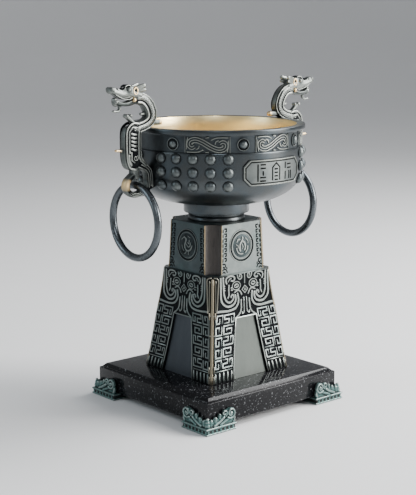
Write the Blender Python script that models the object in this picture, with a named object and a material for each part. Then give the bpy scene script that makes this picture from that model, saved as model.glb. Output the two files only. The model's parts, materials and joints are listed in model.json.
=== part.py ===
"""Bronze bowl with two dragon handles and hanging rings, standing on a tall
mask-carved pedestal, a square granite base and four corner feet.

Units are metres and +Z is up. The origin is on the floor under the bowl's axis.
The front, with the name plate, looks along -Y. The handles stand on the X axis.
"""

import math

import bmesh
import bpy
from mathutils import Matrix, Vector

# Clearances between pieces that rest on or against each other
FIT_GAP = 0.0003

# Faces that turn by less than this many degrees count as one flat
FLAT_ANGLE = 0.5

# Granite base
SLAB_SIDE = 0.1996
SLAB_THICKNESS = 0.0300
SLAB_BEVEL = 0.0035
SLAB_LEDGE = 0.0027
SLAB_QUIRK = 0.0008
SLAB_EASE = 0.0006

# Corner feet
FOOT_HEIGHT = 0.0078
FOOT_ARM = 0.0437
FOOT_DEPTH = 0.0240
FOOT_FILLET = 0.0019
FOOT_WAIST = 0.0011
FOOT_TOOTH_COUNT = 4
FOOT_TOOTH = 0.0032
LEAF_THICKNESS = 0.0065
LEAF_HEIGHT = 0.0205
LEAF_BACK = 0.0042

# Pedestal
PEDESTAL_BASE_HALF = 0.0610
PEDESTAL_WAIST_HALF = 0.0485
PEDESTAL_FLARE = 1.6
PEDESTAL_LOWER_HEIGHT = 0.1198
PEDESTAL_STEP = 0.0031
PEDESTAL_STEP_HEIGHT = 0.0008
PEDESTAL_UPPER_HEIGHT = 0.0574
PEDESTAL_UPPER_TAPER = 0.0022
PEDESTAL_STEPS = 4
CORNER_CUT_TOP = 0.0110
CORNER_CUT_BOTTOM = 0.0042
CORNER_CUT_SPREAD = 0.0580
CORNER_RIDGE_HALF = 0.0012
CORNER_RIDGE_PROUD = 0.0012
FLUTE_RADIUS = 0.0130
PANEL_HEIGHT = 0.0690
PANEL_TOP_HALF = 0.0145
PANEL_BASE_HALF = 0.0260
PANEL_DEPTH = 0.0020
MASK_GAP = 0.0020
CARVING_PROUD = 0.0009
CARVING_ROOT = 0.0010
CARVING_LINE = 0.0021
MASK_LINE = 0.0026
LEG_BAND_HEIGHT = 0.0660
ROUNDEL_RADIUS = 0.0178
ROUNDEL_FIELD_RADIUS = 0.0146
ROUNDEL_LIFT = 0.0305
ROUNDEL_SIDES = 10
FRET_WIDTH = 0.0042

# Bowl
BELLY_RADIUS = 0.0986
BELLY_DEPTH = 0.0370
BELLY_SQUARENESS = 2.1
BOWL_WALL = 0.0060
WALL_HEIGHT = 0.0280
WALL_EASE = 0.0008
FRIEZE_HEIGHT = 0.0185
FRIEZE_INSET = 0.0023
RIM_COVE = 0.0011
RIM_HEIGHT = 0.0054
RIM_OVERHANG = 0.0038
RIM_EASE = 0.0007
LOWER_RING_RADIUS = 0.0331
LOWER_RING_HEIGHT = 0.0083
UPPER_RING_RADIUS = 0.0383
UPPER_RING_HEIGHT = 0.0130
RING_FOOT_WALL = 0.0050
BOWL_SIDES = 32
BELLY_STEPS = 4

# Studs, bosses, kui panels and name plate on the bowl
STUD_RADIUS = 0.0058
STUD_PROUD = 0.0048
STUD_ROOT = 0.0030
STUD_ROWS = 3
STUD_COLUMNS = 5
STUD_ROW_PITCH = 0.0149
STUD_TOP_DROP = 0.0066
STUD_FIRST_ANGLE = math.radians(33.5)
STUD_PITCH_ANGLE = math.radians(11.4)
BOSS_RADIUS = 0.0070
BOSS_DOME_RADIUS = 0.0047
BOSS_PROUD = 0.0040
BOSS_PLATE = 0.0011
BOSS_PITCH_ANGLE = math.radians(47.0)
KUI_HALF_ANGLE = math.radians(14.0)
KUI_LINE = 0.0022
KUI_PROUD = 0.0011
PLATE_HALF_ANGLE = math.radians(24.0)
PLATE_HEIGHT = 0.0290
PLATE_TOP_DROP = 0.0076
PLATE_CORNER_CUT = 0.0070
PLATE_PROUD = 0.0024
PLATE_STROKE = 0.0016
PLATE_STROKE_PROUD = 0.0006

# Dragon handles, drawn on a grid 124 units tall whose zero is the rim's top edge
HANDLE_HEIGHT = 0.1240
HANDLE_UNITS = 124.0
HANDLE_THICKNESS = 0.0112
HANDLE_ROOT_REACH = 0.0050
PIVOT_OUT = 17.1
PIVOT_DOWN = 62.0
HOOK_CLEARANCE = 0.0015
HOOK_THICKNESS = 0.0070
HOOK_STRETCH = 3.6
HOOK_DROP = 1.2
EYE_RADIUS = 0.0024

# Hanging rings
RING_OUTER_RADIUS = 0.0450
RING_TUBE_RADIUS = 0.0043
RING_SIDES = 24
RING_TUBE_SIDES = 6

# Levels that follow from the sizes above
SLAB_BOTTOM = FOOT_HEIGHT + FIT_GAP
SLAB_TOP = SLAB_BOTTOM + SLAB_THICKNESS
PEDESTAL_BOTTOM = SLAB_TOP + FIT_GAP
WAIST_LEVEL = PEDESTAL_BOTTOM + PEDESTAL_LOWER_HEIGHT
UPPER_BOTTOM = WAIST_LEVEL + PEDESTAL_STEP_HEIGHT
PEDESTAL_TOP = UPPER_BOTTOM + PEDESTAL_UPPER_HEIGHT
PANEL_TOP = PEDESTAL_BOTTOM + PANEL_HEIGHT
MASK_BOTTOM = PANEL_TOP + 2 * CARVING_LINE + MASK_GAP
MASK_HEIGHT = WAIST_LEVEL - MASK_BOTTOM
BOWL_BOTTOM = PEDESTAL_TOP + FIT_GAP
UPPER_RING_BOTTOM = BOWL_BOTTOM + LOWER_RING_HEIGHT
BELLY_BOTTOM = UPPER_RING_BOTTOM + UPPER_RING_HEIGHT
BELLY_TOP = BELLY_BOTTOM + BELLY_DEPTH
FRIEZE_BOTTOM = BELLY_TOP + WALL_HEIGHT
FRIEZE_TOP = FRIEZE_BOTTOM + FRIEZE_HEIGHT
RIM_BOTTOM = FRIEZE_TOP + RIM_COVE
RIM_TOP = RIM_BOTTOM + RIM_HEIGHT
FRIEZE_RADIUS = BELLY_RADIUS - FRIEZE_INSET
RIM_RADIUS = BELLY_RADIUS + RIM_OVERHANG
SLAB_HALF = SLAB_SIDE / 2
FOOT_OUTER = SLAB_HALF + FIT_GAP + LEAF_THICKNESS
HANDLE_UNIT = HANDLE_HEIGHT / HANDLE_UNITS
PIVOT_X = RIM_RADIUS + PIVOT_OUT * HANDLE_UNIT
PIVOT_Z = RIM_TOP - PIVOT_DOWN * HANDLE_UNIT
RING_CENTRE_RADIUS = RING_OUTER_RADIUS - RING_TUBE_RADIUS


def clear_scene():
    """Remove every object, so that the model starts from nothing."""
    for thing in list(bpy.data.objects):
        bpy.data.objects.remove(thing, do_unlink=True)


def make_material(name, colour, roughness, metallic):
    """Plain Principled material."""
    material = bpy.data.materials.new(name)
    material.use_nodes = True
    shader = material.node_tree.nodes["Principled BSDF"]
    shader.inputs["Base Color"].default_value = (*colour, 1.0)
    shader.inputs["Roughness"].default_value = roughness
    shader.inputs["Metallic"].default_value = metallic
    material.diffuse_color = (*colour, 1.0)
    return material


def make_object(name, bm, material):
    """Turn a bmesh of closed bodies into an object with outward faces."""
    bmesh.ops.remove_doubles(bm, verts=bm.verts, dist=1e-6)
    bmesh.ops.triangulate(bm, faces=bm.faces)
    bmesh.ops.recalc_face_normals(bm, faces=bm.faces)
    mesh = bpy.data.meshes.new(name)
    bm.to_mesh(mesh)
    bm.free()
    mesh.materials.append(material)
    mesh.shade_smooth()
    mesh.set_sharp_from_angle(angle=math.radians(30.0))
    thing = bpy.data.objects.new(name, mesh)
    bpy.context.scene.collection.objects.link(thing)
    return thing


def make_tool(name, bm, material):
    """An object that only adds to or cuts another one."""
    tool = make_object(name, bm, material)
    tool.hide_render = True
    tool.display_type = "WIRE"
    return tool


def add_boolean(thing, tool, operation):
    """Join or cut an object with a tool whose bodies don't meet each other."""
    modifier = thing.modifiers.new(tool.name, "BOOLEAN")
    modifier.object = tool
    modifier.operation = operation
    modifier.solver = "EXACT"


def add_union(thing, name, bodies, material, turn=None):
    """Join an object with bodies that may meet each other, one tool object for each body."""
    group = bpy.data.collections.new(name)
    bpy.context.scene.collection.children.link(group)
    for index, bm in enumerate(bodies):
        tool = make_tool(name + "_" + str(index), bm, material)
        bpy.context.scene.collection.objects.unlink(tool)
        group.objects.link(tool)
        if turn:
            tool.matrix_world = turn
    modifier = thing.modifiers.new(name, "BOOLEAN")
    modifier.operand_type = "COLLECTION"
    modifier.collection = group
    modifier.operation = "UNION"
    modifier.solver = "EXACT"


def merge_flats(thing):
    """Merge the small triangles of each flat stretch into one face."""
    modifier = thing.modifiers.new("merge_flats", "DECIMATE")
    modifier.decimate_type = "DISSOLVE"
    modifier.angle_limit = math.radians(FLAT_ANGLE)


def smooth(points, steps):
    """Curve through the points, each a tuple of numbers, with steps per stretch."""
    result = []
    last = len(points) - 1
    for index in range(last):
        before = Vector(points[max(index - 1, 0)])
        start = Vector(points[index])
        end = Vector(points[index + 1])
        after = Vector(points[min(index + 2, last)])
        for step in range(steps):
            t = step / steps
            bend = 2 * before - 5 * start + 4 * end - after
            twist = 3 * (start - end) + after - before
            result.append(start + 0.5 * t * (end - before + t * (bend + t * twist)))
    result.append(Vector(points[last]))
    return [tuple(point) for point in result]


def segment_normal(start, end):
    """Unit normal of a stretch in the drawing's plane."""
    along = Vector((end[0] - start[0], end[1] - start[1])).normalized()
    return Vector((-along.y, along.x))


def stroke_sides(path):
    """Left and right edge of a stroke whose points are (u, v, width)."""
    pairs = []
    last = len(path) - 1
    for index, (u, v, width) in enumerate(path):
        first = segment_normal(path[max(index - 1, 0)], path[max(index, 1)])
        second = segment_normal(path[min(index, last - 1)], path[min(index + 1, last)])
        middle = (first + second).normalized()
        reach = width / 2 / max(middle.dot(first), 0.55)
        side = middle * reach
        pairs.append(((u + side.x, v + side.y), (u - side.x, v - side.y)))
    return pairs


def add_stroke(bm, path, place, low, high):
    """Closed bar along a stroke; place(u, v, depth) gives each corner's point."""
    rings = []
    for left, right in stroke_sides(path):
        corners = [(left, low), (right, low), (right, high), (left, high)]
        rings.append([bm.verts.new(place(*point, depth)) for point, depth in corners])
    for ring, following in zip(rings, rings[1:]):
        for index in range(4):
            after = (index + 1) % 4
            bm.faces.new((ring[index], ring[after], following[after], following[index]))
    bm.faces.new(rings[0])
    bm.faces.new(list(reversed(rings[-1])))


def add_prism(bm, outline, place, low, high):
    """Closed prism over a flat outline."""
    add_loft(bm, [[place(u, v, depth) for u, v in outline] for depth in (low, high)])


def polygon(centre, radii, sides, turn=0.0):
    """Regular outline, stretched to two radii."""
    steps = [turn + math.tau * index / sides for index in range(sides)]
    return [(centre[0] + radii[0] * math.cos(a), centre[1] + radii[1] * math.sin(a)) for a in steps]


def add_turned(bm, profile, sides, matrix):
    """Body turned about the matrix's own Z axis from (radius, height) points."""
    points = [bm.verts.new(matrix @ Vector((radius, 0.0, height))) for radius, height in profile]
    edges = [bm.edges.new(pair) for pair in zip(points, points[1:])]
    bmesh.ops.spin(
        bm,
        geom=points + edges,
        cent=matrix.translation,
        axis=matrix.to_3x3() @ Vector((0.0, 0.0, 1.0)),
        angle=math.tau,
        steps=sides,
        use_merge=True,
    )


def add_loft(bm, sections):
    """Closed body through sections that have the same number of points."""
    rings = [[bm.verts.new(point) for point in section] for section in sections]
    count = len(rings[0])
    for ring, following in zip(rings, rings[1:]):
        for index in range(count):
            after = (index + 1) % count
            bm.faces.new((ring[index], ring[after], following[after], following[index]))
    bm.faces.new(list(reversed(rings[0])))
    bm.faces.new(rings[-1])


def quarter_turn(quarter):
    """Rotation about the vertical by so many right angles."""
    return Matrix.Rotation(quarter * math.pi / 2, 4, "Z")


def build_slab(material):
    """Square granite base with a bevelled top, a quirk and a ledge."""
    levels = [
        (SLAB_HALF - SLAB_EASE, SLAB_BOTTOM),
        (SLAB_HALF, SLAB_BOTTOM + SLAB_EASE),
        (SLAB_HALF, SLAB_TOP - SLAB_BEVEL - SLAB_QUIRK - SLAB_EASE),
        (SLAB_HALF - SLAB_EASE, SLAB_TOP - SLAB_BEVEL - SLAB_QUIRK),
        (SLAB_HALF - SLAB_LEDGE, SLAB_TOP - SLAB_BEVEL - SLAB_QUIRK),
        (SLAB_HALF - SLAB_LEDGE, SLAB_TOP - SLAB_BEVEL),
        (SLAB_HALF - SLAB_LEDGE - SLAB_BEVEL, SLAB_TOP),
    ]
    corners = [(1, 1), (-1, 1), (-1, -1), (1, -1)]
    sections = [[Vector((a * half, b * half, z)) for a, b in corners] for half, z in levels]
    bm = bmesh.new()
    add_loft(bm, sections)
    make_object("granite_base", bm, material)


def foot_plan(inset, z):
    """L-shaped outline of a foot at one level, its outer corner at +X, -Y."""
    outer = FOOT_OUTER - inset
    end = FOOT_OUTER - FOOT_ARM + inset
    inner = FOOT_OUTER - FOOT_DEPTH + inset
    plan = [(outer, outer), (outer, end), (inner, end), (inner, inner), (end, inner), (end, outer)]
    return [Vector((x, -y, z)) for x, y in plan]


def arm_place(arm):
    """Place on one arm of a foot: u along the arm from the corner, v up, depth out from the slab."""
    def place(u, v, depth):
        along = FOOT_OUTER - u
        out = SLAB_HALF + FIT_GAP + depth
        if arm == 0:
            return Vector((out, -along, v))
        return Vector((along, -out, v))
    return place


def leaf_point(u_share, v_share):
    """Point of the foliage, as shares of the arm's length and the leaf's height."""
    return u_share * FOOT_ARM, FOOT_HEIGHT + v_share * LEAF_HEIGHT


def foot_bodies():
    """Leaves, scrolls, teeth and corner tuft of one foot, each a body of its own."""
    root = FOOT_FILLET / 4
    back = [(0.27, 0.52), (0.40, 0.42), (0.52, 0.56), (0.63, 0.86), (0.71, 0.78),
            (0.79, 0.97), (0.91, 1.0), (0.99, 0.80), (0.98, 0.45), (0.84, 0.20)]
    top_edge = [leaf_point(a, b) for a, b in back]
    scroll = [(0.24, 0.16, 0.0040), (0.54, 0.20, 0.0044), (0.82, 0.44, 0.0040), (0.88, 0.78, 0.0030)]
    scroll_path = [(*leaf_point(a, b), width) for a, b, width in scroll]
    tooth_low = FOOT_FILLET - root
    tooth_high = FOOT_HEIGHT - FOOT_FILLET + root
    pitch = FOOT_ARM / (FOOT_TOOTH_COUNT + 0.5)
    bodies = []
    for arm in (0, 1):
        place = arm_place(arm)
        near = FOOT_ARM * (0.13 + 0.015 * arm)
        far = FOOT_ARM * 0.70
        low = FOOT_HEIGHT - root
        outline = [(near, low), leaf_point(near / FOOT_ARM, 0.38), *top_edge, (far, low)]
        leaf = bmesh.new()
        add_prism(leaf, outline, place, 0.0, LEAF_BACK - arm * FIT_GAP)
        scroll_body = bmesh.new()
        add_stroke(scroll_body, scroll_path, place, LEAF_BACK / 2, LEAF_THICKNESS - FOOT_WAIST / 2)
        teeth = bmesh.new()
        for index in range(FOOT_TOOTH_COUNT):
            middle = pitch * (index + 0.80)
            tooth = [(middle, tooth_low, FOOT_TOOTH), (middle, tooth_high, FOOT_TOOTH)]
            depths = (LEAF_THICKNESS - 2 * FOOT_WAIST, LEAF_THICKNESS - FOOT_WAIST / 4)
            add_stroke(teeth, tooth, place, *depths)
        bodies += [leaf, scroll_body, teeth]
    radius = LEAF_THICKNESS * 0.52
    middle = FOOT_OUTER - FOOT_WAIST / 4 - radius
    low = FOOT_HEIGHT - root / 2
    shell = [(0.0, low), (radius, low), (radius * 0.75, FOOT_HEIGHT + LEAF_HEIGHT * 0.34),
             (0.0, FOOT_HEIGHT + LEAF_HEIGHT * 0.50)]
    tuft = bmesh.new()
    add_turned(tuft, shell, 7, Matrix.Translation((middle, -middle, 0.0)))
    return bodies + [tuft]


def build_feet(material):
    """Four corner feet: toothed plinth with a scrolled leaf up each side of the base's corner."""
    waist_low = FOOT_FILLET
    waist_high = FOOT_HEIGHT - FOOT_FILLET
    plans = [(0.0, 0.0), (0.0, waist_low), (FOOT_WAIST, waist_low), (FOOT_WAIST, waist_high),
             (0.0, waist_high), (0.0, FOOT_HEIGHT)]
    corners = ["front_right", "back_right", "back_left", "front_left"]
    for quarter, corner in enumerate(corners):
        bm = bmesh.new()
        add_loft(bm, [foot_plan(inset, z) for inset, z in plans])
        foot = make_object("corner_foot_" + corner, bm, material)
        foot.matrix_world = quarter_turn(quarter)
        add_union(foot, "foliage_" + str(quarter), foot_bodies(), material, quarter_turn(quarter))
        merge_flats(foot)


def lower_half(z):
    """Half width of the flared lower pedestal at a height."""
    rise = min(max((z - PEDESTAL_BOTTOM) / PEDESTAL_LOWER_HEIGHT, 0.0), 1.0)
    return PEDESTAL_WAIST_HALF + (PEDESTAL_BASE_HALF - PEDESTAL_WAIST_HALF) * (1.0 - rise) ** PEDESTAL_FLARE


def upper_half(z):
    """Half width of the tapered upper pedestal at a height."""
    rise = (z - UPPER_BOTTOM) / PEDESTAL_UPPER_HEIGHT
    return PEDESTAL_WAIST_HALF - PEDESTAL_STEP - PEDESTAL_UPPER_TAPER * rise


def corner_cut(z):
    """Width of the cut corner of the lower pedestal at a height."""
    rise = min(max(1.0 - (WAIST_LEVEL - z) / CORNER_CUT_SPREAD, 0.0), 1.0)
    return CORNER_CUT_BOTTOM + (CORNER_CUT_TOP - CORNER_CUT_BOTTOM) * rise


def flat_half(z):
    """Half width of the flat face between the corners, on either part of the pedestal."""
    if z > WAIST_LEVEL:
        return upper_half(z) - FLUTE_RADIUS
    return lower_half(z) - corner_cut(z)


def lower_section(z):
    """Outline of the lower pedestal, each cut corner with a ridge down its middle."""
    half = lower_half(z)
    start = Vector((half, half - corner_cut(z), z))
    end = Vector((half - corner_cut(z), half, z))
    along = (end - start).normalized() * CORNER_RIDGE_HALF
    out = Vector((1.0, 1.0, 0.0)).normalized() * CORNER_RIDGE_PROUD
    middle = (start + end) / 2
    corner = [start, middle - along, middle - along + out, middle + along + out, middle + along, end]
    return [quarter_turn(quarter) @ point for quarter in range(4) for point in corner]


def upper_section(z):
    """Outline of the upper pedestal, each corner hollowed by a round flute."""
    half = upper_half(z)
    corner = []
    for index in range(6):
        angle = math.pi / 2 * index / 5
        out = half - FLUTE_RADIUS * math.sin(angle)
        across = half - FLUTE_RADIUS * math.cos(angle)
        corner.append(Vector((out, across, z)))
    return [quarter_turn(quarter) @ point for quarter in range(4) for point in corner]


def face_place(quarter):
    """Place on one face of the pedestal: u across, v height, depth out from the face."""
    turn = quarter_turn(quarter)

    def place(u, v, depth):
        half = upper_half(v) if v > WAIST_LEVEL else lower_half(v)
        return turn @ Vector((u, -half - depth, v))
    return place


def panel_half(z):
    """Half width of the plain sunk panel at a height."""
    rise = (z - PEDESTAL_BOTTOM) / PANEL_HEIGHT
    return PANEL_BASE_HALF + (PANEL_TOP_HALF - PANEL_BASE_HALF) * rise


def mask_point(side, across, up):
    """Point of the beast mask, as shares of the face's half width and the mask's height."""
    z = MASK_BOTTOM + up * MASK_HEIGHT
    return side * across * flat_half(z), z


def add_mask(bm, place):
    """Beast mask: horns, brow curls, eyes, nose diamond, jaws and nose stem."""
    depths = (-CARVING_ROOT, CARVING_PROUD)
    strokes = [
        [(0.20, 0.80), (0.36, 0.95), (0.66, 0.96), (0.74, 0.84), (0.62, 0.78)],
        [(0.94, 0.98), (0.93, 0.30), (0.76, 0.10), (0.52, 0.12), (0.42, 0.34), (0.56, 0.42)],
        [(0.12, 0.36), (0.14, 0.12), (0.26, 0.0)],
    ]
    for side in (-1, 1):
        for stroke in strokes:
            path = [(*mask_point(side, a, b), MASK_LINE) for a, b in stroke]
            add_stroke(bm, path, place, *depths)
        eye = polygon(mask_point(side, 0.34, 0.60), (MASK_LINE * 2.2, MASK_LINE * 1.7), 6)
        add_prism(bm, eye, place, -CARVING_ROOT, CARVING_PROUD * 1.6)
    nose = polygon(mask_point(1, 0.0, 0.52), (MASK_LINE * 1.7, MASK_LINE * 1.7), 4)
    add_prism(bm, nose, place, *depths)


def add_leg_carving(bm, place):
    """Upright band of thunder scrolls, as one raised strip, on both sides of the sunk panel."""
    levels = [PEDESTAL_BOTTOM + CARVING_LINE, PEDESTAL_BOTTOM + LEG_BAND_HEIGHT]
    for side in (-1, 1):
        path = []
        for z in levels:
            inner = panel_half(z) + 2 * CARVING_LINE
            outer = flat_half(z) - CARVING_LINE / 2
            path.append((side * (inner + outer) / 2, z, outer - inner))
        add_stroke(bm, path, place, -CARVING_ROOT, CARVING_PROUD)


def add_panel_frame(bm, place):
    """Raised line up the sides and over the top of the sunk panel."""
    steps = 2
    rise = PANEL_HEIGHT + CARVING_LINE
    levels = [PEDESTAL_BOTTOM + CARVING_LINE / 4 + rise * index / steps for index in range(steps + 1)]
    right = [(panel_half(z) + CARVING_LINE * 0.7, z, CARVING_LINE) for z in levels]
    left = [(-u, z, width) for u, z, width in reversed(right)]
    add_stroke(bm, right + left, place, -CARVING_ROOT, CARVING_PROUD)


def add_panel_cut(bm, place):
    """Cutter of the sunk panel, following the flare of the face."""
    steps = 3
    below = PEDESTAL_BOTTOM - PANEL_DEPTH
    levels = [below] + [PEDESTAL_BOTTOM + PANEL_HEIGHT * index / steps for index in range(steps + 1)]
    path = [(0.0, z, 2 * panel_half(z)) for z in levels]
    add_stroke(bm, path, place, -PANEL_DEPTH, PANEL_DEPTH)


def add_upper_carving(bm, place):
    """Roundel with a curled beast and the two fret strips of the upper face."""
    middle = UPPER_BOTTOM + ROUNDEL_LIFT
    outer = polygon((0.0, middle), (ROUNDEL_RADIUS, ROUNDEL_RADIUS), ROUNDEL_SIDES)
    inner = polygon((0.0, middle), (ROUNDEL_FIELD_RADIUS, ROUNDEL_FIELD_RADIUS), ROUNDEL_SIDES)
    loops = []
    for far, near in zip(outer, inner):
        corners = [(far, -CARVING_ROOT), (near, -CARVING_ROOT), (near, CARVING_PROUD), (far, CARVING_PROUD)]
        loops.append([bm.verts.new(place(*point, depth)) for point, depth in corners])
    for loop, following in zip(loops, loops[1:] + loops[:1]):
        for corner in range(4):
            after = (corner + 1) % 4
            bm.faces.new((loop[corner], loop[after], following[after], following[corner]))
    field = ROUNDEL_FIELD_RADIUS
    beast = [(-0.45, 0.50, 0.20), (0.05, 0.35, 0.30), (-0.10, -0.10, 0.36), (0.35, -0.30, 0.30),
             (0.55, 0.15, 0.16)]
    path = [(a * field, middle + b * field, share * field) for a, b, share in beast]
    add_stroke(bm, path, place, -CARVING_ROOT, CARVING_PROUD)
    for side in (-1, 1):
        low = UPPER_BOTTOM + FRET_WIDTH / 2
        high = PEDESTAL_TOP - FRET_WIDTH
        ends = [(side * (flat_half(z) - FRET_WIDTH * 0.7), z, FRET_WIDTH) for z in (low, high)]
        add_stroke(bm, ends, place, -CARVING_ROOT, CARVING_PROUD)


def build_pedestal(material):
    """Flared lower part and fluted upper part in one casting, carved on four faces."""
    rises = [PEDESTAL_LOWER_HEIGHT * index / PEDESTAL_STEPS for index in range(PEDESTAL_STEPS + 1)]
    sections = [lower_section(PEDESTAL_BOTTOM + rise) for rise in rises]
    sections += [upper_section(z) for z in (UPPER_BOTTOM, PEDESTAL_TOP)]
    bm = bmesh.new()
    add_loft(bm, sections)
    pedestal = make_object("pedestal", bm, material)

    carvers = [add_mask, add_leg_carving, add_panel_frame, add_upper_carving]
    carvings = [bmesh.new() for _ in carvers]
    panels = bmesh.new()
    for quarter in range(4):
        place = face_place(quarter)
        for carver, carving in zip(carvers, carvings):
            carver(carving, place)
        add_panel_cut(panels, place)
    add_union(pedestal, "pedestal_carving", carvings, material)
    add_boolean(pedestal, make_tool("pedestal_panels", panels, material), "DIFFERENCE")
    merge_flats(pedestal)


def belly_curve(radius, depth, foot, bottom):
    """Quarter of a squarish ellipse from the wall's foot to the bowl's floor."""
    points = []
    power = 2.0 / BELLY_SQUARENESS
    for index in range(BELLY_STEPS + 1):
        angle = math.pi / 2 * index / BELLY_STEPS
        across = max(math.cos(angle), 0.0) ** power
        down = math.sin(angle) ** power
        points.append((foot + (radius - foot) * across, bottom + depth * (1.0 - down)))
    return points


def bowl_outer(gap=0.0):
    """Outer side of the bowl from the rim down to the foot, grown by a gap."""
    return [
        (RIM_RADIUS + gap, RIM_TOP + gap),
        (RIM_RADIUS + gap, RIM_BOTTOM - gap),
        (FRIEZE_RADIUS + gap, FRIEZE_TOP - gap),
        (FRIEZE_RADIUS + gap, FRIEZE_BOTTOM + gap),
        (BELLY_RADIUS - WALL_EASE + gap, FRIEZE_BOTTOM + gap),
        (BELLY_RADIUS + gap, FRIEZE_BOTTOM - WALL_EASE + gap),
        *belly_curve(BELLY_RADIUS + gap, BELLY_DEPTH + gap, UPPER_RING_RADIUS + gap, BELLY_BOTTOM - gap),
    ]


def bowl_turn():
    """Turn that puts a flat of the faceted bowl, not an edge, at each handle."""
    return Matrix.Rotation(math.pi / BOWL_SIDES, 4, "Z")


def build_bowl_body():
    """Turned bowl: rim, frieze, belly and the hollow stepped foot."""
    floor = BELLY_BOTTOM + BOWL_WALL
    inner = belly_curve(BELLY_RADIUS - BOWL_WALL, BELLY_DEPTH - BOWL_WALL, UPPER_RING_RADIUS, floor)
    hollow = LOWER_RING_RADIUS - RING_FOOT_WALL
    profile = [
        *bowl_outer(),
        (UPPER_RING_RADIUS, UPPER_RING_BOTTOM),
        (LOWER_RING_RADIUS, UPPER_RING_BOTTOM),
        (LOWER_RING_RADIUS, BOWL_BOTTOM),
        (hollow, BOWL_BOTTOM),
        (hollow, BELLY_BOTTOM),
        (0.0, BELLY_BOTTOM),
    ]
    inside = [(0.0, floor), *reversed(inner), (BELLY_RADIUS - BOWL_WALL, RIM_TOP - RIM_EASE),
              (BELLY_RADIUS - BOWL_WALL + RIM_EASE, RIM_TOP)]
    bm = bmesh.new()
    add_turned(bm, inside + profile, BOWL_SIDES, bowl_turn())
    return bm


def wall_place(radius):
    """Place on the bowl's side: u is an arc length, v a height, depth out from the radius."""
    def place(u, v, depth):
        angle = u / radius
        return Vector(((radius + depth) * math.sin(angle), -(radius + depth) * math.cos(angle), v))
    return place


def belly_radius_at(z):
    """Outer radius of the belly at a height."""
    if z >= BELLY_TOP:
        return BELLY_RADIUS
    share = (BELLY_TOP - z) / BELLY_DEPTH
    across = (1.0 - share ** BELLY_SQUARENESS) ** (1.0 / BELLY_SQUARENESS)
    return UPPER_RING_RADIUS + (BELLY_RADIUS - UPPER_RING_RADIUS) * across


def outward_matrix(angle, radius, z, lean=0.0):
    """Frame on the bowl's side whose Z axis points out, leaning down by an angle."""
    out = Vector((math.sin(angle) * math.cos(lean), -math.cos(angle) * math.cos(lean), -math.sin(lean)))
    foot = Vector((radius * math.sin(angle), -radius * math.cos(angle), z))
    return Matrix.Translation(foot) @ out.to_track_quat("Z", "Y").to_matrix().to_4x4()


def add_studs(bm, facing):
    """Rows of round studs on both sides of the name plate's place."""
    profile = [(0.0, -STUD_ROOT), (STUD_RADIUS, -STUD_ROOT), (STUD_RADIUS * 0.70, STUD_PROUD * 0.78),
               (0.0, STUD_PROUD)]
    for row in range(STUD_ROWS):
        z = FRIEZE_BOTTOM - STUD_TOP_DROP - row * STUD_ROW_PITCH
        radius = belly_radius_at(z)
        small = STUD_RADIUS / 4
        lean = math.atan2(belly_radius_at(z + small) - belly_radius_at(z - small), 2 * small)
        for side in (-1, 1):
            for column in range(STUD_COLUMNS):
                angle = facing + side * (STUD_FIRST_ANGLE + column * STUD_PITCH_ANGLE)
                add_turned(bm, profile, 5, outward_matrix(angle, radius, z, lean))


def add_frieze(bm, facing):
    """Round bosses and key-shaped dragon panels of the frieze, for one half of the bowl."""
    middle = (FRIEZE_BOTTOM + FRIEZE_TOP) / 2
    profile = [(0.0, -CARVING_ROOT), (BOSS_RADIUS, -CARVING_ROOT), (BOSS_RADIUS, BOSS_PLATE),
               (BOSS_DOME_RADIUS, BOSS_PLATE), (0.0, BOSS_PROUD)]
    for share in (-1.5, -0.5, 0.5, 1.5):
        angle = facing + share * BOSS_PITCH_ANGLE
        add_turned(bm, profile, 7, outward_matrix(angle, FRIEZE_RADIUS, middle))
    key = [(-1.0, -0.66), (-1.0, 0.66), (-0.4, 0.66), (0.4, -0.66), (1.0, -0.66), (1.0, 0.66)]
    place = wall_place(FRIEZE_RADIUS)
    for share in (-1, 0, 1):
        centre = (facing + share * BOSS_PITCH_ANGLE) * FRIEZE_RADIUS
        reach = KUI_HALF_ANGLE * FRIEZE_RADIUS
        path = [(centre + a * reach, middle + b * FRIEZE_HEIGHT / 2, KUI_LINE) for a, b in key]
        add_stroke(bm, path, place, -CARVING_ROOT, KUI_PROUD)


def add_name_plate(bm, facing):
    """Curved plate with cut corners."""
    place = wall_place(BELLY_RADIUS)
    middle_z = FRIEZE_BOTTOM - PLATE_TOP_DROP - PLATE_HEIGHT / 2
    steps = 6
    half = PLATE_HALF_ANGLE * BELLY_RADIUS
    cut = min(PLATE_CORNER_CUT, PLATE_HEIGHT / 3)
    stations = [-half, -half + cut]
    stations += [(-half + cut) + (2 * half - 2 * cut) * index / steps for index in range(1, steps + 1)]
    stations += [half]
    centre = facing * BELLY_RADIUS
    widths = [PLATE_HEIGHT - 2 * cut] + [PLATE_HEIGHT] * (steps + 1) + [PLATE_HEIGHT - 2 * cut]
    rings = []
    for u, width in zip(stations, widths):
        low = middle_z - width / 2
        high = middle_z + width / 2
        corners = [(low, -BOWL_WALL / 2), (high, -BOWL_WALL / 2), (high, PLATE_PROUD), (low, PLATE_PROUD)]
        rings.append([place(centre + u, v, depth) for v, depth in corners])
    add_loft(bm, rings)


def add_plate_strokes(bm, facing):
    """Shallow strokes on the name plate, in three columns, that are no letters."""
    place = wall_place(BELLY_RADIUS)
    middle_z = FRIEZE_BOTTOM - PLATE_TOP_DROP - PLATE_HEIGHT / 2
    half = PLATE_HALF_ANGLE * BELLY_RADIUS
    for column in (-1, 0, 1):
        u = facing * BELLY_RADIUS + column * half * 0.5
        for row in (-1, 1):
            v = middle_z + row * PLATE_HEIGHT * 0.18
            bar = [(u - half * 0.13, v, PLATE_STROKE), (u + half * 0.13, v, PLATE_STROKE)]
            add_stroke(bm, bar, place, PLATE_PROUD / 2, PLATE_PROUD + PLATE_STROKE_PROUD)


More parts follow.
